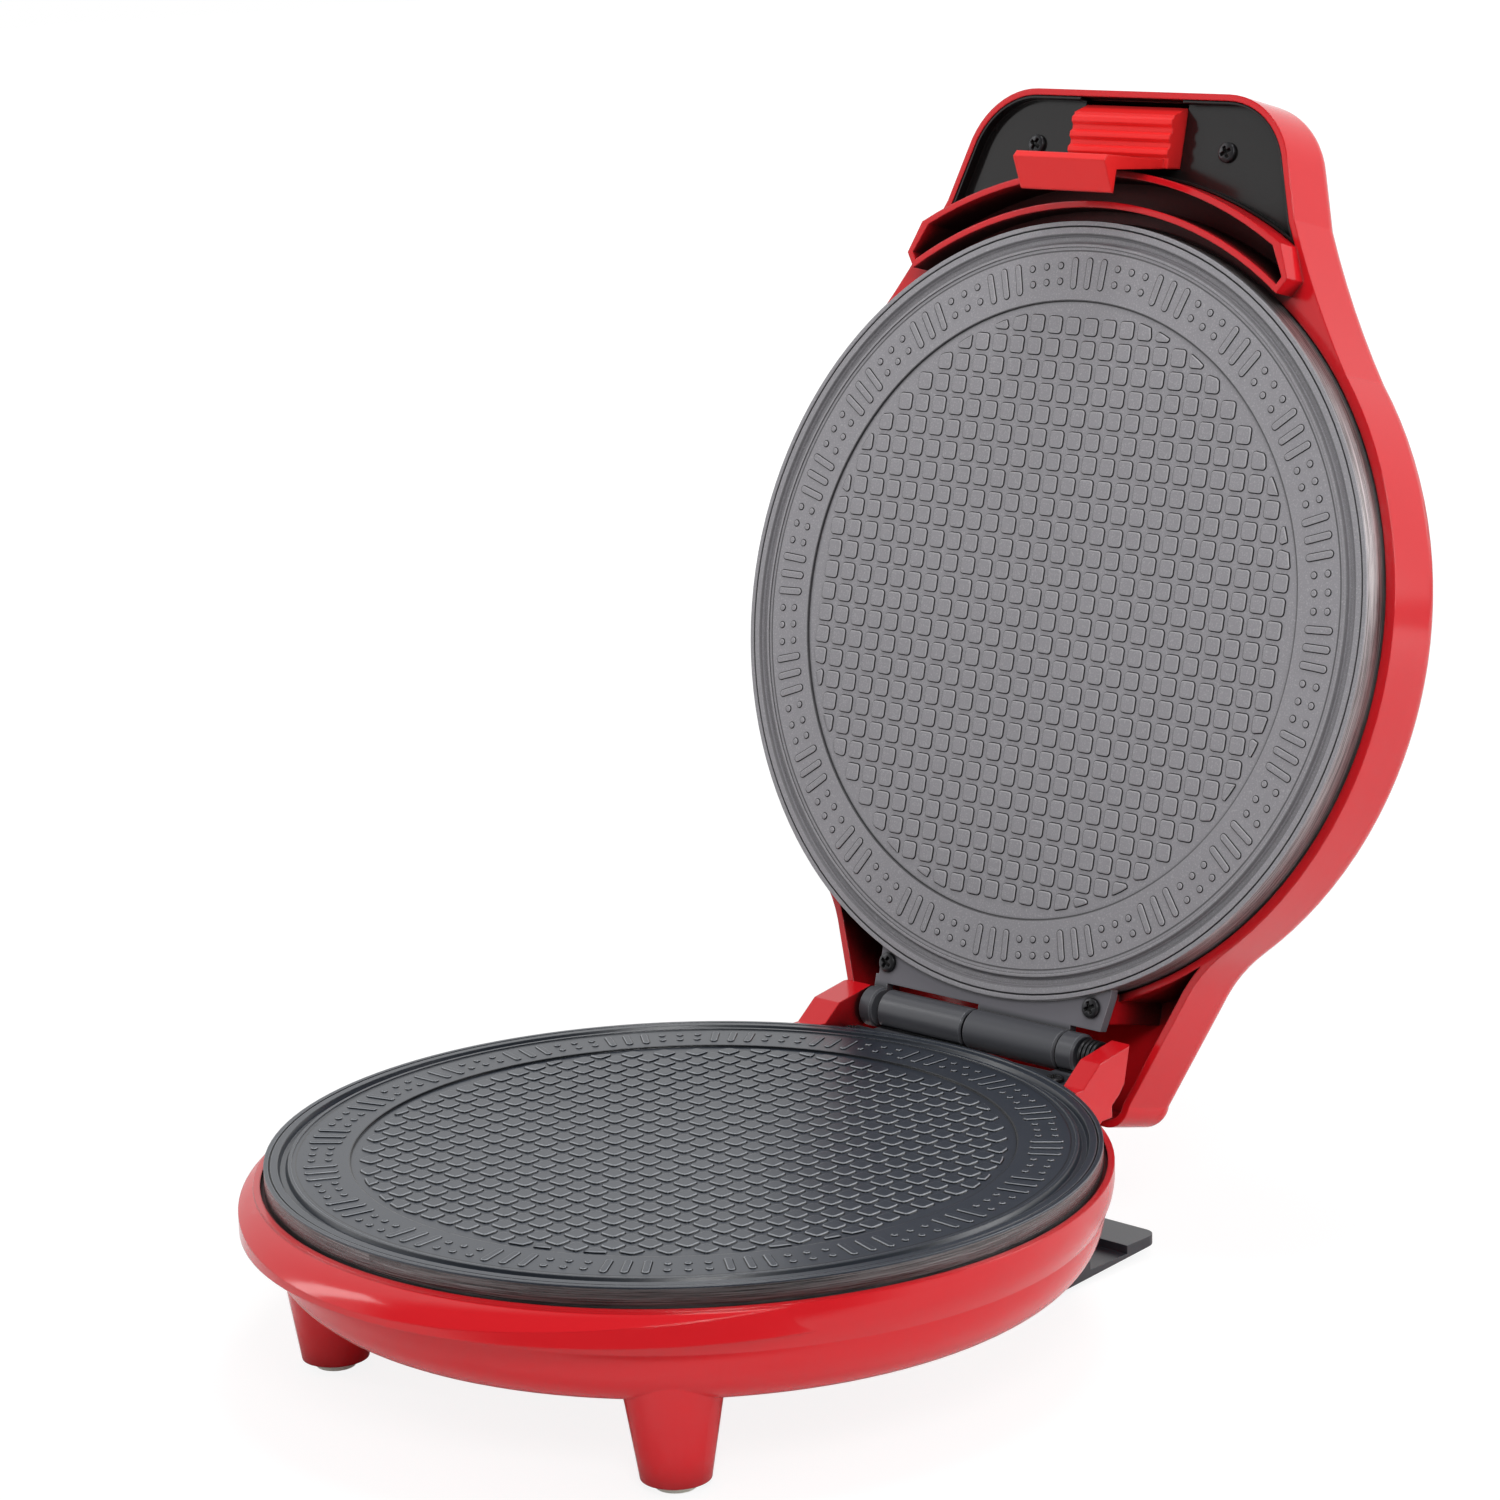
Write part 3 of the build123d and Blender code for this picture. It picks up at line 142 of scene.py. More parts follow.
def lathe(profile, steps):
    """Turned form: every (radius, height) point of the profile goes round in steps.
    The profile starts and ends beside the axis."""
    turn = np.linspace(0, 2 * np.pi, steps, endpoint=False)
    radius, height = np.asarray(profile, dtype=float).T
    x = radius[:, None] * np.cos(turn)
    y = radius[:, None] * np.sin(turn)
    z = np.repeat(height[:, None], steps, axis=1)
    return np.stack([x, y, z], axis=-1), grid_quads(len(profile), steps, wrap_columns=True)


def rounded_outline(half_x, half_y, corner, per_corner):
    """Outline of a box with round corners: four quarter circles of the corner's radius."""
    quarter = np.linspace(0, np.pi / 2, per_corner)
    arcs = []
    for k, (sx, sy) in enumerate(((1, 1), (-1, 1), (-1, -1), (1, -1))):
        angle = quarter + k * np.pi / 2
        x = sx * (half_x - corner) + corner * np.cos(angle)
        y = sy * (half_y - corner) + corner * np.sin(angle)
        arcs.append(np.stack([x, y], axis=-1))
    return np.concatenate(arcs)


def offset_outlines(outlines, distance):
    """Closed outlines grown by a distance: each point moves outwards, square to the line
    between its two neighbours."""
    along = np.roll(outlines, -1, axis=1) - np.roll(outlines, 1, axis=1)
    length = np.maximum(np.linalg.norm(along, axis=-1, keepdims=True), 1e-6)
    return outlines + distance * np.stack([along[..., 1], -along[..., 0]], axis=-1) / length


# Levels of a stud's foot and of its fillet's top, and the most that a top's rounding takes of its reach
STUD_FOOT, FILLET_TOP = -0.04, 0.14
EDGE_SHARE = 0.3
# How much painted shade darkens a stud's fillet and wall
FILLET_SHADE, WALL_SHADE = 1.0, 0.6


def studs(outlines, height, edge, fillet):
    """Raised studs, one for each closed outline in an array (stud, point, xy).
    Four rings make each: the outline grown by the fillet just under the ground, the outline
    at the fillet's top, the outline below the edge, and the outline shrunk by the edge at
    full height. A fan closes the top and one face the foot. Also returns the painted shade and
    the painted highlight of each face: painted shade on the fillet and the wall, and a painted highlight on
    the edge."""
    count, corners, _ = outlines.shape
    middle = outlines.mean(axis=1, keepdims=True)
    reach = np.linalg.norm(outlines - middle, axis=-1).min(axis=1)[:, None, None]
    inset = offset_outlines(outlines, -np.minimum(edge, EDGE_SHARE * reach))
    grown = offset_outlines(outlines, fillet)
    rings = [(grown, STUD_FOOT), (outlines, FILLET_TOP), (outlines, height - edge), (inset, height)]
    layers = [np.concatenate([ring, np.full((count, corners, 1), z)], axis=-1) for ring, z in rings]
    top = np.concatenate([middle, np.full((count, 1, 1), height)], axis=-1)
    points = np.concatenate(layers + [top], axis=1)
    sides = grid_quads(len(rings), corners, wrap_columns=True)
    ring = np.arange(corners)
    last = (len(rings) - 1) * corners
    fan = np.stack([last + ring, last + (ring + 1) % corners, np.full(corners, last + corners)], axis=-1)
    foot = ring[::-1][None, :]
    step = (np.arange(count) * (last + corners + 1))[:, None, None]
    faces = [(f[None] + step).reshape(-1, f.shape[1]) for f in (sides, fan, foot)]
    rest = np.zeros(count * (corners + 1))
    # painted shade on the fillet and wall faces, painted highlight on the edge faces
    dark = np.tile(np.repeat([FILLET_SHADE, WALL_SHADE, 0.0], corners), count)
    rubbed = np.tile(np.repeat([0.0, 0.0, 1.0], corners), count)
    tones = {"foot_line": np.concatenate([dark, rest]), "rubbed": np.concatenate([rubbed, rest])}
    return points, faces, tones


CORNER_STEPS = 4
# Shares of a pad's side: how far beyond the circle its middle may lie, and its heart's least inset
SLIVER_SHARE = 0.16
HEART_SHARE = 0.27


def field_outlines(sizes):
    """Square pads on a grid, cut off along the circle that bounds the field.
    An outline point beyond the circle is drawn back to it on the line to a heart point,
    which is the pad's middle brought inside the circle: the step t along that line solves
    (heart + t * line) squared = limit squared."""
    pitch, side = sizes.pad_pitch, sizes.pad_side
    limit = sizes.pad_field_radius
    count = int(2 * limit / pitch) + 2
    row = (np.arange(count) - (count - 1) / 2) * pitch
    shape = rounded_outline(side / 2, side / 2, sizes.pad_corner, CORNER_STEPS)
    x, y = np.meshgrid(row, row, indexing="ij")
    middle = np.stack([x.ravel(), y.ravel()], axis=-1)
    far = np.linalg.norm(middle, axis=-1, keepdims=True)
    middle = middle[far[:, 0] < limit + SLIVER_SHARE * side]
    far = np.linalg.norm(middle, axis=-1, keepdims=True)
    heart = (middle * np.minimum(1.0, (limit - HEART_SHARE * side) / far))[:, None, :]
    line = middle[:, None, :] + shape[None] - heart
    across = (heart * line).sum(axis=-1, keepdims=True)
    square = (line * line).sum(axis=-1, keepdims=True)
    room = limit ** 2 - (heart * heart).sum(axis=-1, keepdims=True)
    t = (np.sqrt(across ** 2 + square * room) - across) / square
    return heart + line * np.minimum(1.0, t)


DASHES_IN_GROUP = 3
# Corner radius of a dash or a dot, as a share of its half width
ROUND_SHARE = 0.98


def band_outlines(sizes):
    """Round the band: groups of three radial dashes, and between them groups of dots,
    two rows of three. Each outline is drawn at the middle, moved out by its radius and turned."""
    groups = sizes.band_groups
    step = 2 * np.pi / groups
    fan = np.radians(sizes.dash_spacing) * (np.arange(DASHES_IN_GROUP) - (DASHES_IN_GROUP - 1) / 2)
    dash_turn = (np.arange(groups)[:, None] * step + fan).ravel()
    dot_turn = (np.arange(groups)[:, None] * step + step / 2 + fan).ravel()
    half_length, half_width = (sizes.dash_outer - sizes.dash_inner) / 2, sizes.dash_width / 2
    dash = rounded_outline(half_length, half_width, half_width * ROUND_SHARE, CORNER_STEPS)
    size = sizes.dot_radius
    dot = rounded_outline(size, size, size * ROUND_SHARE, CORNER_STEPS)

    def turned(shape, radius, turn):
        """The shape moved out by the radius, once for each angle."""
        along = np.stack([np.cos(turn), np.sin(turn)], axis=-1)[:, None, :]
        across = np.stack([-np.sin(turn), np.cos(turn)], axis=-1)[:, None, :]
        return along * (radius + shape[None, :, :1]) + across * shape[None, :, 1:]

    middle = (sizes.dash_outer + sizes.dash_inner) / 2
    dots = [turned(dot, r, dot_turn) for r in (sizes.dot_inner, sizes.dot_outer)]
    return np.concatenate([turned(dash, middle, dash_turn)] + dots)


HEAD_RINGS, HEAD_STEPS = 22, 64
# How much closer the rings stand towards a head's rim, and how full its dome is
RING_CROWD, DOME_POWER = 0.85, 0.45
# Half width and reach of the cross, and how wide their walls are, as shares of the head's radius
ARM, ARM_WALL = 0.19, 0.05
REACH, REACH_WALL = 0.66, 0.08
# How far the head goes down behind its rim, in heights of its dome
SKIRT = 2.0


def cross_head(radius, dome, depth):
    """Crosshead screw seen from above: a dome whose height is a power of a cosine of the radius,
    less a plus-shaped recess with steep walls, on a disc of rings, closed underneath.
    Also returns the painted shade of each face, from how deep the recess is one ring further in."""
    rings, steps = HEAD_RINGS, HEAD_STEPS
    r = radius * np.linspace(0, 1, rings) ** RING_CROWD
    turn = np.linspace(0, 2 * np.pi, steps, endpoint=False)
    x, y = r[:, None] * np.cos(turn), r[:, None] * np.sin(turn)
    height = dome * (np.cos(r / radius * np.pi / 2) ** DOME_POWER)[:, None] * np.ones_like(x)
    arm = np.minimum(np.abs(x), np.abs(y)) / radius
    reach = np.maximum(np.abs(x), np.abs(y)) / radius
    recess = np.clip((ARM - arm) / ARM_WALL, 0, 1) * np.clip((REACH - reach) / REACH_WALL, 0, 1)
    height = height - depth * recess
    skirt = np.stack([x[-1], y[-1], np.full(steps, -SKIRT * dome)], axis=-1)
    disc = np.stack([x, y, height], axis=-1)[1:].reshape(-1, 3)
    points = np.concatenate([disc, skirt, [[0, 0, dome - depth]]])
    quads = grid_quads(rings, steps, wrap_columns=True)[:, ::-1]
    ring = np.arange(steps)
    middle = np.full(steps, len(points) - 1)
    fan = np.stack([ring, (ring + 1) % steps, middle], axis=-1)
    back = (ring[::-1] + (rings - 1) * steps)[None, :]
    # painted shade: the recess darkens with its depth, and its middle fully
    dark = np.concatenate([recess.reshape(-1)[quads].mean(axis=1), np.ones(steps), np.zeros(1)])
    return points, [quads, fan, back], dark


def tube(path, radius, steps):
    """Round tube of one radius along a path of points, with closed ends.
    Each ring stands square to the path's direction there."""
    path = np.asarray(path, dtype=float)
    along = np.gradient(path, axis=0)
    along /= np.linalg.norm(along, axis=1, keepdims=True)
    side = np.cross(along, AXIS_X)
    side /= np.linalg.norm(side, axis=1, keepdims=True)
    other = np.cross(along, side)
    turn = np.linspace(0, 2 * np.pi, steps, endpoint=False)
    ring = side[:, None] * np.cos(turn)[None, :, None] + other[:, None] * np.sin(turn)[None, :, None]
    points = (path[:, None] + radius * ring).reshape(-1, 3)
    first = np.arange(steps)[::-1][None]
    last = (np.arange(steps) + (len(path) - 1) * steps)[None]
    return points, [grid_quads(len(path), steps, wrap_columns=True), first, last]


# Shader expressions

class Socket:
    """A shader value that can be used in Python expressions. link is its node's output."""

    def __init__(self, shader, link):
        self.shader = shader
        self.link = link

    def math(self, operation, other=None):
        """A Math node on this value and perhaps another."""
        values = {0: self} if other is None else {0: self, 1: other}
        return self.shader.node("ShaderNodeMath", {"operation": operation}, values)

    def __add__(self, other):
        return self.math("ADD", other)

    def __sub__(self, other):
        return self.math("SUBTRACT", other)

    def __mul__(self, other):
        return self.math("MULTIPLY", other)

    def __rsub__(self, other):
        return self.math("MULTIPLY", -1.0) + other

    def __pow__(self, other):
        return self.math("POWER", other)

    __radd__ = __add__
    __rmul__ = __mul__

    def band(self, low, high):
        """1 from low to high and 0 outside, with a smooth step a fifth of the width at each end."""
        soft = (high - low) * 0.1
        return self.step(low - soft, low + soft) * (1.0 - self.step(high - soft, high + soft))

    def step(self, low, high):
        """0 below low, 1 above high, and a smooth rise between them."""
        return self.shader.node(
            "ShaderNodeMapRange", {"interpolation_type": "SMOOTHSTEP"},
            {"Value": self, "From Min": low, "From Max": high})


class Shader:
    """One material's node tree, built from expressions."""

    def __init__(self, name):
        self.material = bpy.data.materials.new(name)
        self.material.use_nodes = True
        self.tree = self.material.node_tree
        self.surface = self.tree.nodes["Principled BSDF"]

    @classmethod
    def of_tree(cls, tree):
        """Expressions over a tree that is there already."""
        shader = cls.__new__(cls)
        shader.tree = tree
        return shader

    def node(self, kind, settings=None, values=None, output=0):
        """Add a node: its settings first, then the values or links of its sockets."""
        made = self.tree.nodes.new(kind)
        for key, value in (settings or {}).items():
            setattr(made, key, value)
        self.fill(made, values or {})
        return Socket(self, made.outputs[output])

    def fill(self, node, values):
        """Set or link a node's inputs."""
        for key, value in values.items():
            if isinstance(value, Socket):
                self.tree.links.new(value.link, node.inputs[key])
            else:
                node.inputs[key].default_value = value

    def place(self):
        """Object coordinates, so that a pattern stays on its piece."""
        return self.node("ShaderNodeTexCoord", output="Object")

    def outputs(self, socket, keys):
        """Several outputs of the node that a socket comes from."""
        return [Socket(self, socket.link.node.outputs[key]) for key in keys]

    def split(self, vector):
        """The three parts of a vector."""
        return self.outputs(self.node("ShaderNodeSeparateXYZ", values={0: vector}), range(3))

    def rays(self, *kinds):
        """1 where the looking ray is of a kind and 0 elsewhere, for each kind."""
        return self.outputs(self.node("ShaderNodeLightPath"), kinds)

    def noise(self, scale, detail, roughness=0.5, vector=None):
        """Smooth noise from 0 to 1 on the piece, with scale cells in a metre."""
        where = vector or self.place()
        values = {"Vector": where, "Scale": scale, "Detail": detail, "Roughness": roughness}
        return self.node("ShaderNodeTexNoise", values=values)

    def mix(self, factor, first, second):
        """A colour between two colours."""
        return self.node("ShaderNodeMix", {"data_type": "RGBA"}, {0: factor, 6: first, 7: second}, output=2)

    def corners(self, radius):
        """A normal that rounds the piece's edges."""
        return self.node("ShaderNodeBevel", {"samples": 4}, {"Radius": radius})

    def bump(self, height, strength, distance, normal=None):
        """A bumped normal over an optional rounded one."""
        values = {"Height": height, "Strength": strength, "Distance": distance}
        if normal is not None:
            values["Normal"] = normal
        return self.node("ShaderNodeBump", values=values)


def rgba(colour):
    """A colour with full cover."""
    return (*colour, 1.0)


def scaled(colour, amount):
    """A colour made darker or lighter."""
    return tuple(min(1.0, c * amount) for c in colour) + (1.0,)


def shade_of_crevices(shader, reach):
    """0 deep inside a hollow and 1 in the open, from how much is blocked within reach."""
    return shader.node("ShaderNodeAmbientOcclusion", {"samples": 8}, {"Distance": reach}, output="AO")


# How far the normals lean apart, as 1 less the cosine, where an edge starts and where it is full
EDGE_LEAN = (0.01, 0.16)


def edges_of(shader, normal):
    """0 on open faces and up to 1 along edges, from how far a rounded normal leans off the true one."""
    flat = shader.node("ShaderNodeNewGeometry", output="Normal")
    cosine = shader.node(
        "ShaderNodeVectorMath", {"operation": "DOT_PRODUCT"}, {0: normal, 1: flat}, output="Value")
    return (1.0 - cosine).step(*EDGE_LEAN)


def gloss_plastic(name, colour, roughness, edge, specular, hollow=0.03):
    """Moulded glossy plastic: even colour with a faint cloud, fine scuffs, orange peel, and
    painted shade that darkens its hollows to a share of the colour."""
    shader = Shader(name)
    cloud = shader.noise(9.0, 3.0)
    open_air = shade_of_crevices(shader, 28 * MM).step(0.24, 0.7)
    tone = shader.mix(cloud, scaled(colour, 0.93), scaled(colour, 1.05))
    # painted shade: hollows are darkened towards a share of the colour
    tone = shader.mix(open_air, scaled(colour, hollow), tone)
    peel = shader.noise(420.0, 1.0)
    scuff = shader.noise(38.0, 5.0, 0.65)
    shader.fill(shader.surface, {
        "Base Color": tone,
        "Roughness": roughness + 0.06 * (scuff - 0.5) + 0.5 * (1.0 - open_air),
        "Normal": shader.bump(peel, 0.03, 0.2 * MM, shader.corners(edge)),
        "Specular IOR Level": specular,
    })
    return shader.material


def matte_plastic(name, colour, roughness):
    """Moulded plastic with a fine spark-eroded grain."""
    shader = Shader(name)
    grain = shader.noise(1400.0, 2.0)
    cloud = shader.noise(20.0, 3.0)
    shader.fill(shader.surface, {
        "Base Color": shader.mix(cloud, scaled(colour, 0.8), scaled(colour, 1.25)),
        "Roughness": roughness + 0.12 * (grain - 0.5),
        "Normal": shader.bump(grain, 0.15, 0.1 * MM, shader.corners(0.4 * MM)),
    })
    return shader.material


def attribute(shader, name):
    """A value that the mesh carries for each face, 0 where it carries none."""
    return shader.node("ShaderNodeAttribute", {"attribute_name": name}, output="Fac")


# Where the parts of a plate start and end: radii from its centre and heights from its rim
WALL_START, WALL_END = mm(151.4, 151.9), mm(152.2, 152.4)
WALL_TOP = mm(-0.9, -0.5)
EAR_START = mm(152.3, 153.0)
BARREL_START = mm(155.5, 158.0)
BAND_LINES = (mm(140.1, 140.75), mm(120.6, 121.35))
MOAT_LINES = (mm(142.9, 143.7), mm(146.5, 147.3))
# How much painted shade darkens the lines and the moat's corners, and how deep a line is for the bump
BAND_LINE_SHADE, MOAT_LINE_SHADE = 0.75, 0.5
BAND_LINE_RELIEF = -6.0
# Turned streaks: noise for each radian round the wall, metre of height and metre of radius
STREAK_SCALES = (5.0, 2400.0, 300.0)


def coated_metal(name, colours_of_parts, roughness, specular, centre, along, out):
    """Non-stick coat on a cast plate: fine speckle on top and turned streaks on its side wall.
    Painted shade darkens its ears, barrels, crevices, lines and the studs' fillets and walls, and
    painted highlights lighten its edges.
    The radius and the height are worked out in the plate's own directions."""
    colour, edge_highlight_colour, ear_shade_colour, barrel_shade_colour, wall_colour = colours_of_parts
    shader = Shader(name)
    x, y, z = shader.split(shader.place())
    y, z = y - float(centre[1]), z - float(centre[2])
    forward = y * float(along[1]) + z * float(along[2])
    height = y * float(out[1]) + z * float(out[2])
    radius = (x * x + forward * forward) ** 0.5
    turn = x.math("ARCTAN2", forward)
    speckle = shader.noise(1500.0, 2.0, 0.7)
    cloud = shader.noise(16.0, 4.0)
    spread = [value * scale for value, scale in zip((turn, height, radius), STREAK_SCALES)]
    around = shader.node("ShaderNodeCombineXYZ", values=dict(enumerate(spread)))
    streak = shader.noise(1.0, 4.0, 0.7, around).step(0.3, 0.7)
    wall = radius.step(*WALL_START) * (1.0 - radius.step(*WALL_END)) * (1.0 - height.step(*WALL_TOP))
    ear = radius.step(*EAR_START)
    barrel_shade = forward.math("ABSOLUTE").step(*BARREL_START)
    line, moat = (radius.band(*one) + radius.band(*other) for one, other in (BAND_LINES, MOAT_LINES))
    # painted shade along the band's and moat's lines and in crevices
    off_lines = 1.0 - line * BAND_LINE_SHADE - moat * MOAT_LINE_SHADE
    open_air = shade_of_crevices(shader, 1.8 * MM).step(0.45, 0.95) * off_lines
    coat = shader.mix(cloud, scaled(colour, 0.92), scaled(colour, 1.08))
    coat = shader.mix(speckle.step(0.5, 0.75), coat, scaled(colour, 1.4))
    # painted shade: the ears and the barrels take darker, shaded copies of the coat's colour
    coat = shader.mix(ear, coat, shader.mix(barrel_shade, rgba(ear_shade_colour), rgba(barrel_shade_colour)))
    rounded = shader.corners(0.55 * MM)
    # painted highlight along the plate's edges
    coat = shader.mix(edges_of(shader, rounded) * 0.6, coat, rgba(edge_highlight_colour))
    # painted shade: crevices and lines darken the coat to a share of its colour
    coat = shader.mix(open_air, scaled(colour, 0.14), coat)
    # painted highlight on the studs' rounded top edges
    coat = shader.mix(attribute(shader, "rubbed") * 0.8, coat, rgba(edge_highlight_colour))
    # painted shade on the studs' fillets and walls
    coat = shader.mix(attribute(shader, "foot_line"), coat, scaled(colour, 0.08))
    bare = shader.mix(streak, scaled(wall_colour, 0.35), scaled(wall_colour, 1.8))
    relief = speckle * 0.5 + line * BAND_LINE_RELIEF * (1.0 - wall) + streak * wall * 2.0
    shader.fill(shader.surface, {
        "Base Color": shader.mix(wall, coat, bare),
        "Metallic": 0.05 + 0.65 * wall,
        "Roughness": roughness + 0.12 * (speckle - 0.5) - 0.06 * wall,
        "Specular IOR Level": specular,
        "Normal": shader.bump(relief, 0.4, 0.05 * MM, rounded),
    })
    return shader.material


def steel(name, colour, roughness):
    """Drawn or stamped steel with a faint grain and stains."""
    shader = Shader(name)
    grain = shader.noise(900.0, 3.0)
    stain = shader.noise(60.0, 4.0)
    shader.fill(shader.surface, {
        "Base Color": shader.mix(stain, scaled(colour, 0.75), scaled(colour, 1.15)),
        "Metallic": 1.0,
        "Roughness": roughness + 0.15 * (grain - 0.5),
        "Normal": shader.bump(grain, 0.15, 0.05 * MM, shader.corners(0.3 * MM)),
    })
    return shader.material


def black_oxide(name, colour):
    """Blackened screw steel: dark and half glossy, with worn spots, painted highlights along its
    edges, and painted shade in its recess and in crevices."""
    shader = Shader(name)
    rub = shader.noise(700.0, 4.0, 0.7)
    rounded = shader.corners(0.3 * MM)
    tone = shader.mix(rub.step(0.6, 0.8), rgba(colour), scaled(colour, 3.0))
    # painted highlight along the edges
    tone = shader.mix(edges_of(shader, rounded), tone, scaled(colour, 6.0))
    # painted shade in crevices
    tone = shader.mix(shade_of_crevices(shader, 1.6 * MM).step(0.35, 0.8), scaled(colour, 0.1), tone)
    shader.fill(shader.surface, {
        # painted shade in the recess
        "Base Color": shader.mix(attribute(shader, "foot_line"), tone, scaled(colour, 0.05)),
        "Metallic": 0.6,
        "Roughness": 0.22 + 0.2 * rub,
        "Normal": shader.bump(rub, 0.1, 0.05 * MM, rounded),
    })
    return shader.material


def soft_rubber(name, colour):
    """Pale moulded rubber, a little dusty."""
    shader = Shader(name)
    dust = shader.noise(500.0, 4.0)
    shader.fill(shader.surface, {
        "Base Color": shader.mix(dust, scaled(colour, 0.86), scaled(colour, 1.04)),
        "Roughness": 0.62 + 0.15 * (dust - 0.5),
        "Normal": shader.bump(dust, 0.1, 0.1 * MM),
    })
    return shader.material


def lens_plastic(name, colour):
    """Clear coloured lens with a faint ripple."""
    shader = Shader(name)
    ripple = shader.noise(1200.0, 1.0)
    shader.fill(shader.surface, {
        "Base Color": shader.mix(ripple, scaled(colour, 0.8), scaled(colour, 1.2)),
        "Roughness": 0.12 + 0.1 * ripple,
        "Normal": shader.bump(ripple, 0.1, 0.05 * MM, shader.corners(0.5 * MM)),
        "Transmission Weight": 0.2,
        "Coat Weight": 0.6,
    })
    return shader.material


FINISHES = {}


def dress(node, finish):
    """Give a CAD node its finish."""
    slots = frame["nodes"][node].material_slots
    if not slots:
        raise RuntimeError(f"{node} has no material slot")
    for slot in slots:
        slot.material = FINISHES[finish]


# Settings that a user would change

class CookerSizes(bpy.types.PropertyGroup):
    """Sizes of the cooking pattern and the small parts, in millimetres."""

    pad_pitch: bpy.props.FloatProperty(
        name="Pad pitch", description="From one square pad to the next", default=8.88)
    pad_side: bpy.props.FloatProperty(
        name="Pad side", description="Width of a square pad", default=6.5)
    pad_corner: bpy.props.FloatProperty(
        name="Pad corner", description="Corner radius of a pad", default=1.3)
    pad_height: bpy.props.FloatProperty(
        name="Pad height", description="Pads above the field", default=0.7)
    pad_edge: bpy.props.FloatProperty(
        name="Pad edge", description="Rounding of a pad's top", default=0.32)
    pad_field_radius: bpy.props.FloatProperty(
        name="Field", description="Circle that cuts the pads", default=117.5)
    field_depth: bpy.props.FloatProperty(
        name="Field depth", description="Field below the rim", default=1.3)
    band_depth: bpy.props.FloatProperty(
        name="Band depth", description="Patterned band below the rim", default=0.5)
    band_groups: bpy.props.IntProperty(
        name="Groups", description="Groups of dashes round the band", default=20)
    dash_spacing: bpy.props.FloatProperty(
        name="Dash spacing", description="Degrees between dashes", default=3.0)
    dash_inner: bpy.props.FloatProperty(
        name="Dash start", description="Inner end of a dash", default=125.6)
    dash_outer: bpy.props.FloatProperty(
        name="Dash end", description="Outer end of a dash", default=137.6)
    dash_width: bpy.props.FloatProperty(
        name="Dash width", description="Width of a dash", default=2.5)
    dot_inner: bpy.props.FloatProperty(
        name="Inner dots", description="Radius of the inner row of dots", default=128.6)
    dot_outer: bpy.props.FloatProperty(
        name="Outer dots", description="Radius of the outer row of dots", default=134.8)
    dot_radius: bpy.props.FloatProperty(
        name="Dot size", description="Radius of a dot", default=1.15)
    relief: bpy.props.FloatProperty(
        name="Relief", description="Dashes and dots above the band", default=0.5)
    relief_edge: bpy.props.FloatProperty(
        name="Relief edge", description="Rounding of a dash's top", default=0.22)
    fillet: bpy.props.FloatProperty(
        name="Fillet", description="Slope round a stud's foot", default=0.5)
    screw_radius: bpy.props.FloatProperty(
        name="Screw head", description="Radius of a screw's head", default=3.9)
    coil_turns: bpy.props.IntProperty(
        name="Coil turns", description="Turns of the hinge spring", default=4)


class CookerColours(bpy.types.PropertyGroup):
    """Colours of the finishes, in linear light."""

    red: bpy.props.FloatVectorProperty(
        name="Body", description="Moulded shells",
        subtype="COLOR", default=(0.66, 0.010, 0.016))
    latch_red: bpy.props.FloatVectorProperty(
        name="Latch", description="Moulded latch",
        subtype="COLOR", default=(0.90, 0.022, 0.022))
    upper_coat: bpy.props.FloatVectorProperty(
        name="Upper plate", description="Coat of the lid's plate",
        subtype="COLOR", default=(0.285, 0.277, 0.295))
    lower_coat: bpy.props.FloatVectorProperty(
        name="Lower plate", description="Coat of the base's plate",
        subtype="COLOR", default=(0.018, 0.025, 0.038))
    # Painted shade: the same coat as the lid's plate, darker as if in shade
    upper_ear_shade: bpy.props.FloatVectorProperty(
        name="Upper ear", description="Hinge ear of the lid's plate",
        subtype="COLOR", default=(0.165, 0.160, 0.180))
    # Painted shade: the same coat as the base's plate, darker as if in shade
    lower_ear_shade: bpy.props.FloatVectorProperty(
        name="Lower ear", description="Hinge ear of the base's plate",
        subtype="COLOR", default=(0.036, 0.038, 0.045))
    # Painted shade: the same coat as the plates, darker as if in shade, for both plates' barrels
    barrel_shade: bpy.props.FloatVectorProperty(
        name="Barrels", description="Hinge barrels",
        subtype="COLOR", default=(0.078, 0.080, 0.090))
    # Painted highlight colour for the lid plate's edges
    upper_edge_highlight: bpy.props.FloatVectorProperty(
        name="Upper edges", description="Edges of the upper coat",
        subtype="COLOR", default=(0.48, 0.47, 0.49))
    # Painted highlight colour for the base plate's edges
    lower_edge_highlight: bpy.props.FloatVectorProperty(
        name="Lower edges", description="Edges of the lower coat",
        subtype="COLOR", default=(0.36, 0.38, 0.41))
    upper_wall: bpy.props.FloatVectorProperty(
        name="Upper wall", description="Turned wall of the lid's plate",
        subtype="COLOR", default=(0.30, 0.292, 0.295))
    lower_wall: bpy.props.FloatVectorProperty(
        name="Lower wall", description="Turned wall of the base's plate",
        subtype="COLOR", default=(0.135, 0.126, 0.127))
    black: bpy.props.FloatVectorProperty(
        name="Black", description="Black mouldings",
        subtype="COLOR", default=(0.026, 0.029, 0.036))
    panel: bpy.props.FloatVectorProperty(
        name="Panel", description="Glossy handle panel",
        subtype="COLOR", default=(0.008, 0.007, 0.007))
    foot: bpy.props.FloatVectorProperty(
        name="Foot tips", description="Rubber foot tips",
        subtype="COLOR", default=(1.0, 0.96, 0.85))


def sizes():
    """The sizes set in the sidebar."""
    return bpy.context.scene.cooker_sizes


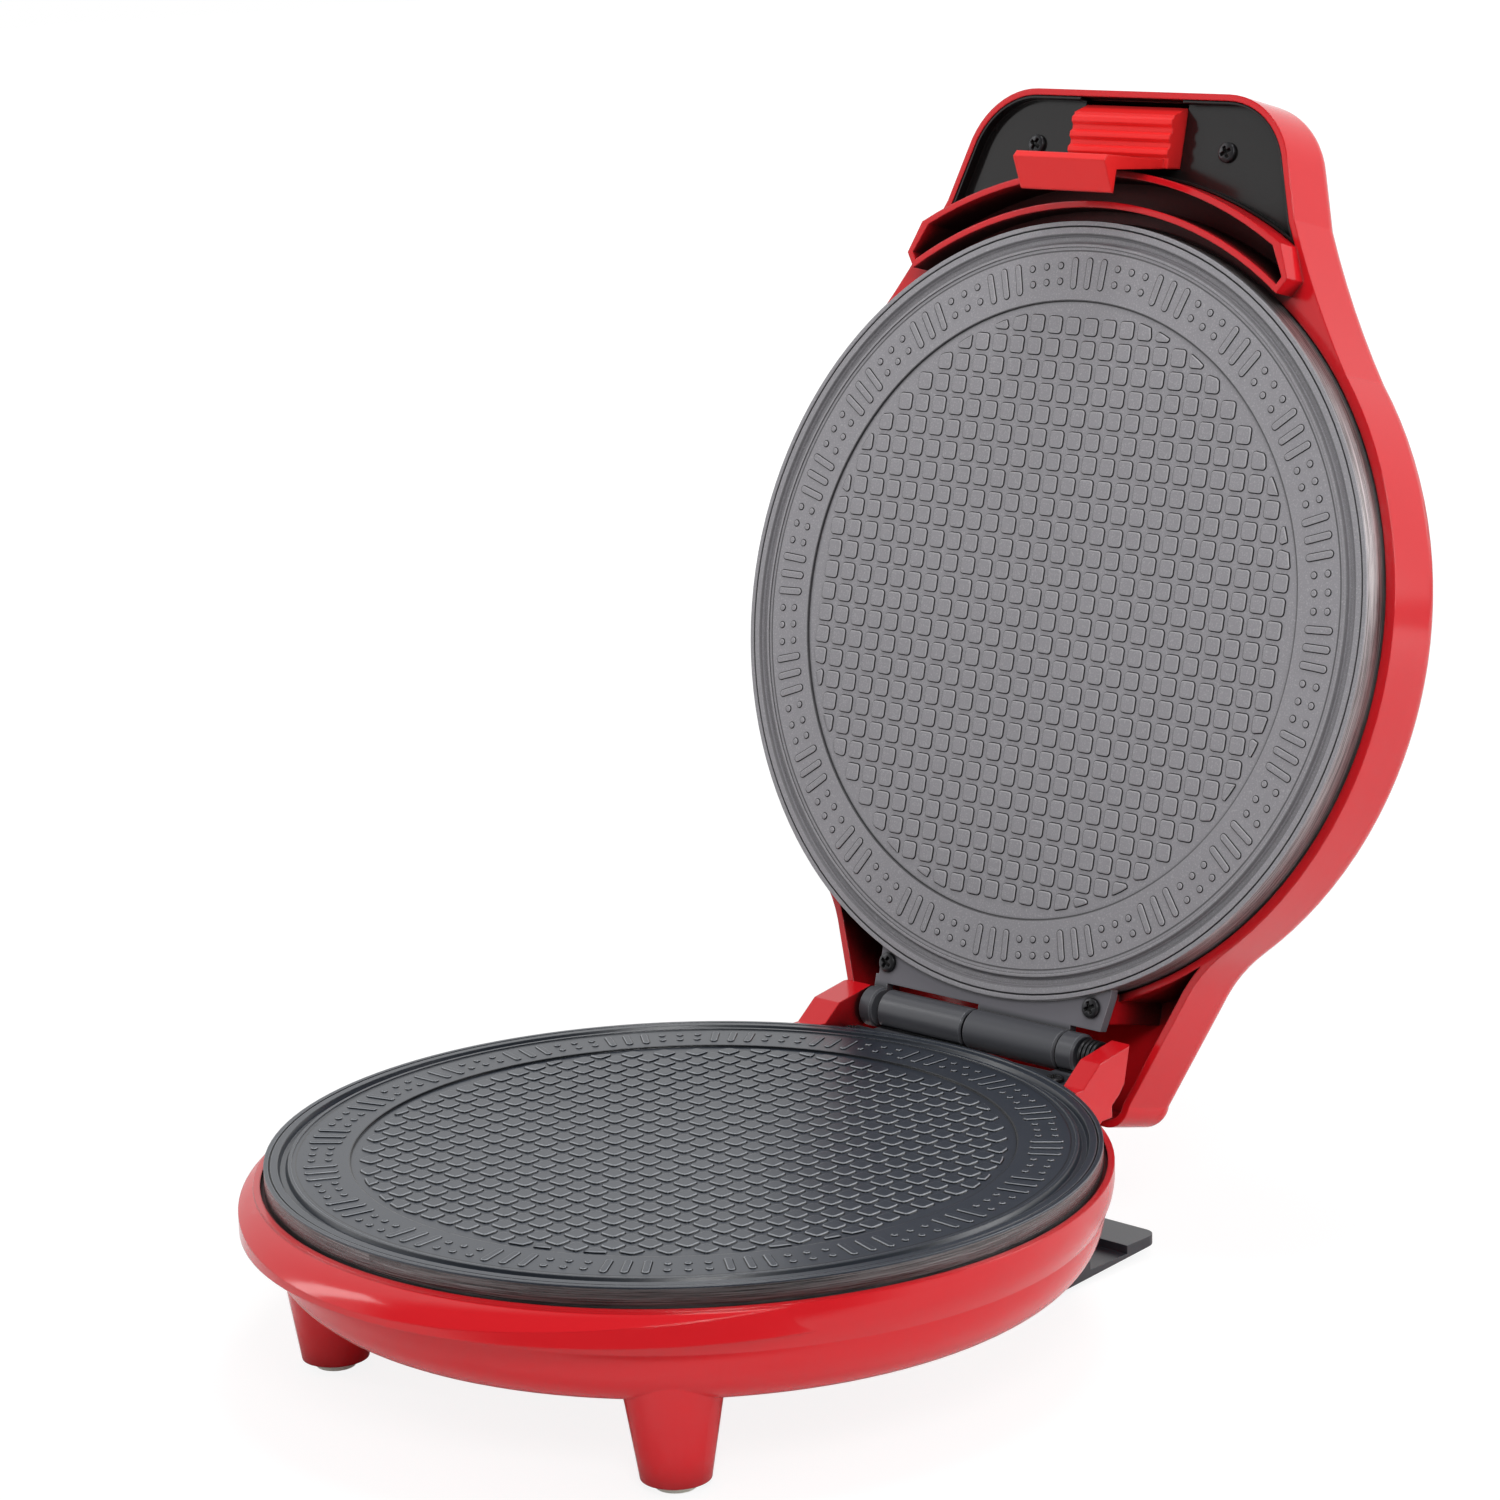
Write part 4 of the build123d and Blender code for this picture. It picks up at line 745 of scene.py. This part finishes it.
def colours():
    """The colours set in the sidebar."""
    return bpy.context.scene.cooker_colours


# Operators

SCREW_BLACK = (0.035, 0.035, 0.038)
PIN_STEEL = (0.30, 0.30, 0.30)
SHEATH_STEEL = (0.42, 0.40, 0.38)
SHIELD_SHEET = (0.72, 0.72, 0.72)
LENS_RED = (0.6, 0.02, 0.02)
LENS_GREEN = (0.03, 0.45, 0.08)


class COOKER_OT_finishes(bpy.types.Operator):
    """Make every finish"""

    bl_idname = "cooker.finishes"
    bl_label = "Make the finishes"

    def execute(self, context):
        c = colours()
        upper = (c.upper_coat, c.upper_edge_highlight, c.upper_ear_shade, c.barrel_shade, c.upper_wall)
        lower = (c.lower_coat, c.lower_edge_highlight, c.lower_ear_shade, c.barrel_shade, c.lower_wall)
        FINISHES.update({
            "red": gloss_plastic(
                "red_moulding", c.red, roughness=0.12, edge=0.9 * MM, specular=0.42),
            "latch": gloss_plastic(
                "latch_moulding", c.latch_red, roughness=0.34, edge=1.1 * MM, specular=0.3, hollow=0.7),
            "panel": gloss_plastic(
                "gloss_black_panel", c.panel, roughness=0.12, edge=0.5 * MM, specular=0.45),
            "black": matte_plastic("black_moulding", c.black, roughness=0.34),
            "upper": coated_metal(
                "upper_coat", upper, roughness=0.42, specular=0.35,
                centre=LID_CENTRE, along=LID_U, out=LID_N),
            "lower": coated_metal(
                "lower_coat", lower, roughness=0.3, specular=0.55,
                centre=BASE_CENTRE, along=AXIS_Y, out=AXIS_Z),
            "screw": black_oxide("screw_black", SCREW_BLACK),
            "foot": soft_rubber("foot_rubber", c.foot),
            "pin": steel("pin_steel", PIN_STEEL, roughness=0.35),
            "sheath": steel("sheath_steel", SHEATH_STEEL, roughness=0.45),
            "shield": steel("shield_sheet", SHIELD_SHEET, roughness=0.3),
            "red_lens": lens_plastic("red_lens", LENS_RED),
            "green_lens": lens_plastic("green_lens", LENS_GREEN),
        })
        return {"FINISHED"}


class COOKER_OT_shells(bpy.types.Operator):
    """Dress the red and black mouldings, the handle panel and the lenses"""

    bl_idname = "cooker.shells"
    bl_label = "Dress the mouldings"

    def execute(self, context):
        for node, finish in (
            ("base_shell", "red"), ("lid_shell", "red"), ("latch", "latch"), ("handle_panel", "panel"),
            ("rear_stand", "black"), ("cord_gland", "black"), ("terminal_block", "black"),
            ("power_light_lens", "red_lens"), ("ready_light_lens", "green_lens"),
        ):
            dress(node, finish)
        return {"FINISHED"}


class COOKER_OT_metalwork(bpy.types.Operator):
    """Dress the plates, the heaters, other metal and the stand's pads"""

    bl_idname = "cooker.metalwork"
    bl_label = "Dress the metalwork"

    def execute(self, context):
        for node, finish in (
            ("upper_plate", "upper"), ("lower_plate", "lower"),
            ("upper_heating_element", "sheath"), ("lower_heating_element", "sheath"),
            ("upper_heat_shield", "shield"), ("lower_heat_shield", "shield"),
            ("hinge_pin", "pin"), ("latch_pin", "pin"), ("latch_spring", "pin"),
            ("thermostat", "sheath"), ("thermal_fuse", "sheath"),
            ("lower_plate_screws", "screw"), ("rear_stand_screws", "screw"),
            ("rear_stand_pads", "foot"),
        ):
            dress(node, finish)
        return {"FINISHED"}


class COOKER_OT_pattern(bpy.types.Operator):
    """Raise the pads, dashes and dots on both plates"""

    bl_idname = "cooker.pattern"
    bl_label = "Raise the cooking pattern"

    def execute(self, context):
        s = sizes()
        for side, place, body in (("lower", on_base, "base"), ("upper", on_lid, "lid")):
            for part, outlines, depth, height, edge in (
                ("pads", field_outlines(s), s.field_depth, s.pad_height, s.pad_edge),
                ("band", band_outlines(s), s.band_depth, s.relief, s.relief_edge),
            ):
                points, faces, tones = studs(outlines, height, edge, s.fillet)
                points[..., 2] -= depth
                name = f"{side}_plate_{part}"
                make_piece(name, place(points), faces, FINISHES[side], body, False, tones)
        return {"FINISHED"}


# Each pair of screws: node, place, body, how far out and along they sit, and their seat's level, in mm
SCREW_PAIRS = (
    ("lower_flange_screws", on_base, "base", 52.0, 148.2, -3.3),
    ("upper_flange_screws", on_lid, "lid", 52.0, -148.2, -2.0),
    ("handle_panel_screws", on_lid, "lid", 47.1, 183.0, -15.5),
)
# How far the two crosses are turned, and a head's dome, its recess and its rim above the seat
SCREW_TURNS = (0.5, 1.1)
SCREW_DOME, SCREW_RECESS, SCREW_RISE = 0.9, 1.1, 1.1


class COOKER_OT_screws(bpy.types.Operator):
    """Fit crosshead screws in the plates' ears and the handle panel"""

    bl_idname = "cooker.screws"
    bl_label = "Fit the screws"

    def execute(self, context):
        points, faces, dark = cross_head(sizes().screw_radius, SCREW_DOME, SCREW_RECESS)
        for node, place, body, out, along, level in SCREW_PAIRS:
            dress(node, "screw")
            copies, parts = [], []
            for k, (x, turn) in enumerate(zip((out, -out), SCREW_TURNS)):
                cos, sin = math.cos(turn), math.sin(turn)
                spin = np.array([[cos, -sin, 0], [sin, cos, 0], [0, 0, 1]])
                copies.append(points @ spin.T + np.array([x, along, level + SCREW_RISE]))
                parts.append([f + k * len(points) for f in faces])
            merged = [np.concatenate(group) for group in zip(*parts)]
            cuts = np.cumsum([len(f) for f in faces])[:-1]
            # painted shade of each head's recess, for both heads
            darks = [np.tile(part, len(copies)) for part in np.split(dark, cuts)]
            piece = make_piece(
                node + "_heads", place(np.concatenate(copies)), merged, FINISHES["screw"],
                body, tones={"foot_line": np.concatenate(darks)})
            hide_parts(node)
        return {"FINISHED"}


# A foot tip's rounding, how far its top stays below its solid's, and the radius where it ends, in mm
TIP_EDGE, TIP_PLAY, TIP_POLE = 0.8, 0.2, 0.01
TIP_STEPS, TIP_ARC_STEPS = 48, 7


class COOKER_OT_feet(bpy.types.Operator):
    """Round off the rubber tips of the front feet"""

    bl_idname = "cooker.feet"
    bl_label = "Round the foot tips"

    def execute(self, context):
        low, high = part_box("front_foot_tips")
        radius = (high[1] - low[1]) / 2 / MM
        height = (high[2] - low[2]) / MM
        arc = np.linspace(0, np.pi / 2, TIP_ARC_STEPS)
        flat = radius - TIP_EDGE
        turned = [(flat + TIP_EDGE * math.sin(t), TIP_EDGE - TIP_EDGE * math.cos(t)) for t in arc]
        top = height - TIP_PLAY
        profile = [(TIP_POLE, 0.0), *turned, (radius, top), (TIP_POLE, top)]
        points, quads = lathe(profile, TIP_STEPS)
        parts = []
        for sign in (-1, 1):
            centre = np.array([sign * (high[0] / MM - radius), (low[1] + high[1]) / 2 / MM, 0.0])
            parts.append(points + centre)
        merged = np.concatenate([p.reshape(-1, 3) for p in parts]) * MM
        faces = np.concatenate([quads, quads + len(points.reshape(-1, 3))])
        piece = make_piece("front_foot_tips_round", merged, [faces], FINISHES["foot"], "base")
        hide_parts("front_foot_tips")
        return {"FINISHED"}


WIRE_RADIUS = 0.85 * MM
WIRE_STEPS, COIL_STEPS = 10, 40


class COOKER_OT_spring(bpy.types.Operator):
    """Wind the coil on the hinge pin"""

    bl_idname = "cooker.spring"
    bl_label = "Wind the hinge spring"

    def execute(self, context):
        low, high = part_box("hinge_spring")
        radius = (high[2] - low[2]) / 2 - WIRE_RADIUS
        count = sizes().coil_turns
        turn = np.linspace(0, 2 * np.pi * count, COIL_STEPS * count)
        x = np.linspace(low[0] + WIRE_RADIUS, high[0] - WIRE_RADIUS, len(turn))
        path = np.stack([x, HINGE[1] + radius * np.cos(turn), HINGE[2] + radius * np.sin(turn)], axis=-1)
        points, faces = tube(path, WIRE_RADIUS, WIRE_STEPS)
        piece = make_piece("hinge_spring_coil", points, faces, FINISHES["screw"], "base")
        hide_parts("hinge_spring")
        return {"FINISHED"}


# Camera and stage: angles in radians, places in metres, the lens in millimetres

CAMERA_TURN = 0.7641721
CAMERA_TILT = 0.2231486
CAMERA_ROLL = -0.0272377
CAMERA_DISTANCE = 1.4915
CAMERA_OFFSET = (-0.02405, -0.14204)
CAMERA_SIGHT = 20.0
CAMERA_LENS, CAMERA_SENSOR = 98.52, 36.0


def camera_place():
    """Where the camera stands and how it is turned, from its three angles,
    its distance from the lower rim's centre and how far that is off the middle."""
    a, e, r = CAMERA_TURN, CAMERA_TILT, CAMERA_ROLL
    back = Vector((math.sin(a) * math.cos(e), -math.cos(a) * math.cos(e), math.sin(e)))
    level = Vector((math.cos(a), math.sin(a), 0.0))
    upright = back.cross(level)
    right = math.cos(r) * level + math.sin(r) * upright
    up = math.cos(r) * upright - math.sin(r) * level
    x, y = CAMERA_OFFSET
    spot = Vector(BASE_CENTRE) - x * right - y * up + CAMERA_DISTANCE * back
    turn = Matrix((right, up, back)).transposed().to_4x4()
    return Matrix.Translation(spot) @ turn


def towards_camera(x, y):
    """How far a point or a direction goes level towards the camera."""
    return x * math.sin(CAMERA_TURN) - y * math.cos(CAMERA_TURN)


def area_light(name, spot, size, power):
    """A soft rectangular lamp that faces the object."""
    lamp = bpy.data.lights.new(name, "AREA")
    lamp.shape = "RECTANGLE"
    lamp.size, lamp.size_y = size
    lamp.energy = power
    holder = bpy.data.objects.new(name, lamp)
    bpy.context.scene.collection.objects.link(holder)
    holder.location = spot
    holder.rotation_euler = (Vector(LAMP_TARGET) - Vector(spot)).to_track_quat("-Z", "Y").to_euler()


# Each lamp: name, place, width and height, and power
LAMPS = (
    ("key", (1.7, -1.5, 1.9), (0.8, 0.8), 24.0),
    ("left", (-2.0, -1.0, 1.3), (0.4, 1.5), 8.0),
    ("back", (1.6, 1.6, 0.9), (0.9, 1.5), 18.0),
    ("top", (0.3, 0.0, 2.2), (0.5, 0.5), 12.0),
)
LAMP_TARGET = (0.0, 0.0, 0.2)

WORLD_LEVEL = 0.45
# The room's dim side in mirrors: how far up it is tilted, where it sets in, and how much it dims
DIM_TILT = math.radians(50.0)
DIM_START = (0.3, 0.5)
DIM_SHARE = 0.85

FLOOR_HALF = 9.0
FLOOR_TONE = (0.85, 0.85, 0.85)
# In mirrors the floor has this tone from so far in front of the object
FLOOR_DIM_TONE = (0.06, 0.06, 0.06)
FLOOR_DIM_START = (0.26, 0.34)
# The floor's own white for the camera, its share near the object, what it gains further off, and where
FLOOR_GLOW = 1.12
GLOW_NEAR, GLOW_GAIN = 0.78, 0.22
GLOW_START = (0.6, 1.5)


class COOKER_OT_stage(bpy.types.Operator):
    """Set the camera, the lamps and the pale floor"""

    bl_idname = "cooker.stage"
    bl_label = "Set the stage"

    def execute(self, context):
        scene = context.scene
        lens = bpy.data.cameras.new("camera")
        lens.lens = CAMERA_LENS
        lens.sensor_width = CAMERA_SENSOR
        lens.clip_end = CAMERA_SIGHT
        camera = bpy.data.objects.new("camera", lens)
        scene.collection.objects.link(camera)
        camera.matrix_world = camera_place()
        scene.camera = camera
        scene.view_settings.view_transform = "Standard"
        self.world(scene)
        self.floor()
        for lamp in LAMPS:
            area_light(*lamp)
        return {"FINISHED"}

    def world(self, scene):
        """White where the camera looks, a softer white as light, and for mirrors a white room
        with a dim wall behind the camera, so that gloss shows its shape."""
        world = bpy.data.worlds.new("studio")
        world.use_nodes = True
        scene.world = world
        shader = Shader.of_tree(world.node_tree)
        seen, clear, glossy = shader.rays("Is Camera Ray", "Is Transmission Ray", "Is Glossy Ray")
        x, y, z = shader.split(shader.node("ShaderNodeTexCoord", output="Generated"))
        facing = towards_camera(x, y) * math.cos(DIM_TILT) + z * math.sin(DIM_TILT)
        room = 1.0 - facing.step(*DIM_START) * DIM_SHARE
        level = WORLD_LEVEL + glossy * (room - WORLD_LEVEL)
        shown = seen.math("MAXIMUM", clear)
        level = level * (1.0 - shown) + shown
        shader.fill(shader.tree.nodes["Background"], {"Color": rgba(WHITE), "Strength": level})

    def floor(self):
        """A wide plain floor that takes a soft shadow and shows white to the camera.
        Mirrors see it dim in front of the object, as they see the wall there."""
        half = FLOOR_HALF
        mesh = bpy.data.meshes.new("floor")
        corners = [(-half, -half, 0.0), (half, -half, 0.0), (half, half, 0.0), (-half, half, 0.0)]
        mesh.from_pydata(corners, [], [(0, 1, 2, 3)])
        floor = bpy.data.objects.new("floor", mesh)
        bpy.context.scene.collection.objects.link(floor)
        shader = Shader("pale_floor")
        seen, glossy = shader.rays("Is Camera Ray", "Is Glossy Ray")
        x, y, _ = shader.split(shader.place())
        front = towards_camera(x, y).step(*FLOOR_DIM_START)
        mirrored = shader.mix(front, rgba(WHITE), rgba(FLOOR_DIM_TONE))
        tone = shader.mix(glossy, rgba(FLOOR_TONE), mirrored)
        shader.fill(shader.surface, {"Base Color": tone, "Roughness": 0.9})
        matte = Socket(shader, shader.surface.outputs[0])
        glow = shader.node("ShaderNodeEmission", values={"Color": rgba(WHITE), "Strength": FLOOR_GLOW})
        far = ((x * x + y * y) ** 0.5).step(*GLOW_START)
        share = seen * (GLOW_NEAR + GLOW_GAIN * far)
        both = shader.node("ShaderNodeMixShader", values={0: share, 1: matte, 2: glow})
        shader.fill(shader.tree.nodes["Material Output"], {"Surface": both})
        mesh.materials.append(shader.material)


class COOKER_PT_panel(bpy.types.Panel):
    """Lists the cooker's steps and sizes"""

    bl_label = "Cooker"
    bl_idname = "COOKER_PT_panel"
    bl_space_type = "VIEW_3D"
    bl_region_type = "UI"
    bl_category = "Cooker"

    def draw(self, context):
        layout = self.layout
        for step in STEPS:
            layout.operator(step.bl_idname)
        for group in (context.scene.cooker_sizes, context.scene.cooker_colours):
            for name in group.bl_rna.properties.keys():
                if name not in ("rna_type", "name"):
                    layout.prop(group, name)


STEPS = (
    COOKER_OT_finishes,
    COOKER_OT_stage,
    COOKER_OT_shells,
    COOKER_OT_metalwork,
    COOKER_OT_pattern,
    COOKER_OT_screws,
    COOKER_OT_feet,
    COOKER_OT_spring,
)
CLASSES = (CookerSizes, CookerColours) + STEPS + (COOKER_PT_panel,)


def register():
    """Register the classes and hang both groups of settings on the scene."""
    for item in CLASSES:
        bpy.utils.register_class(item)
    bpy.types.Scene.cooker_sizes = bpy.props.PointerProperty(type=CookerSizes)
    bpy.types.Scene.cooker_colours = bpy.props.PointerProperty(type=CookerColours)


def unregister():
    """Undo register."""
    del bpy.types.Scene.cooker_colours
    del bpy.types.Scene.cooker_sizes
    for item in reversed(CLASSES):
        bpy.utils.unregister_class(item)


def main():
    """Run every step in order."""
    register()
    for step in STEPS:
        group, name = step.bl_idname.split(".")
        getattr(getattr(bpy.ops, group), name)()


if __name__ == "__main__":
    main()
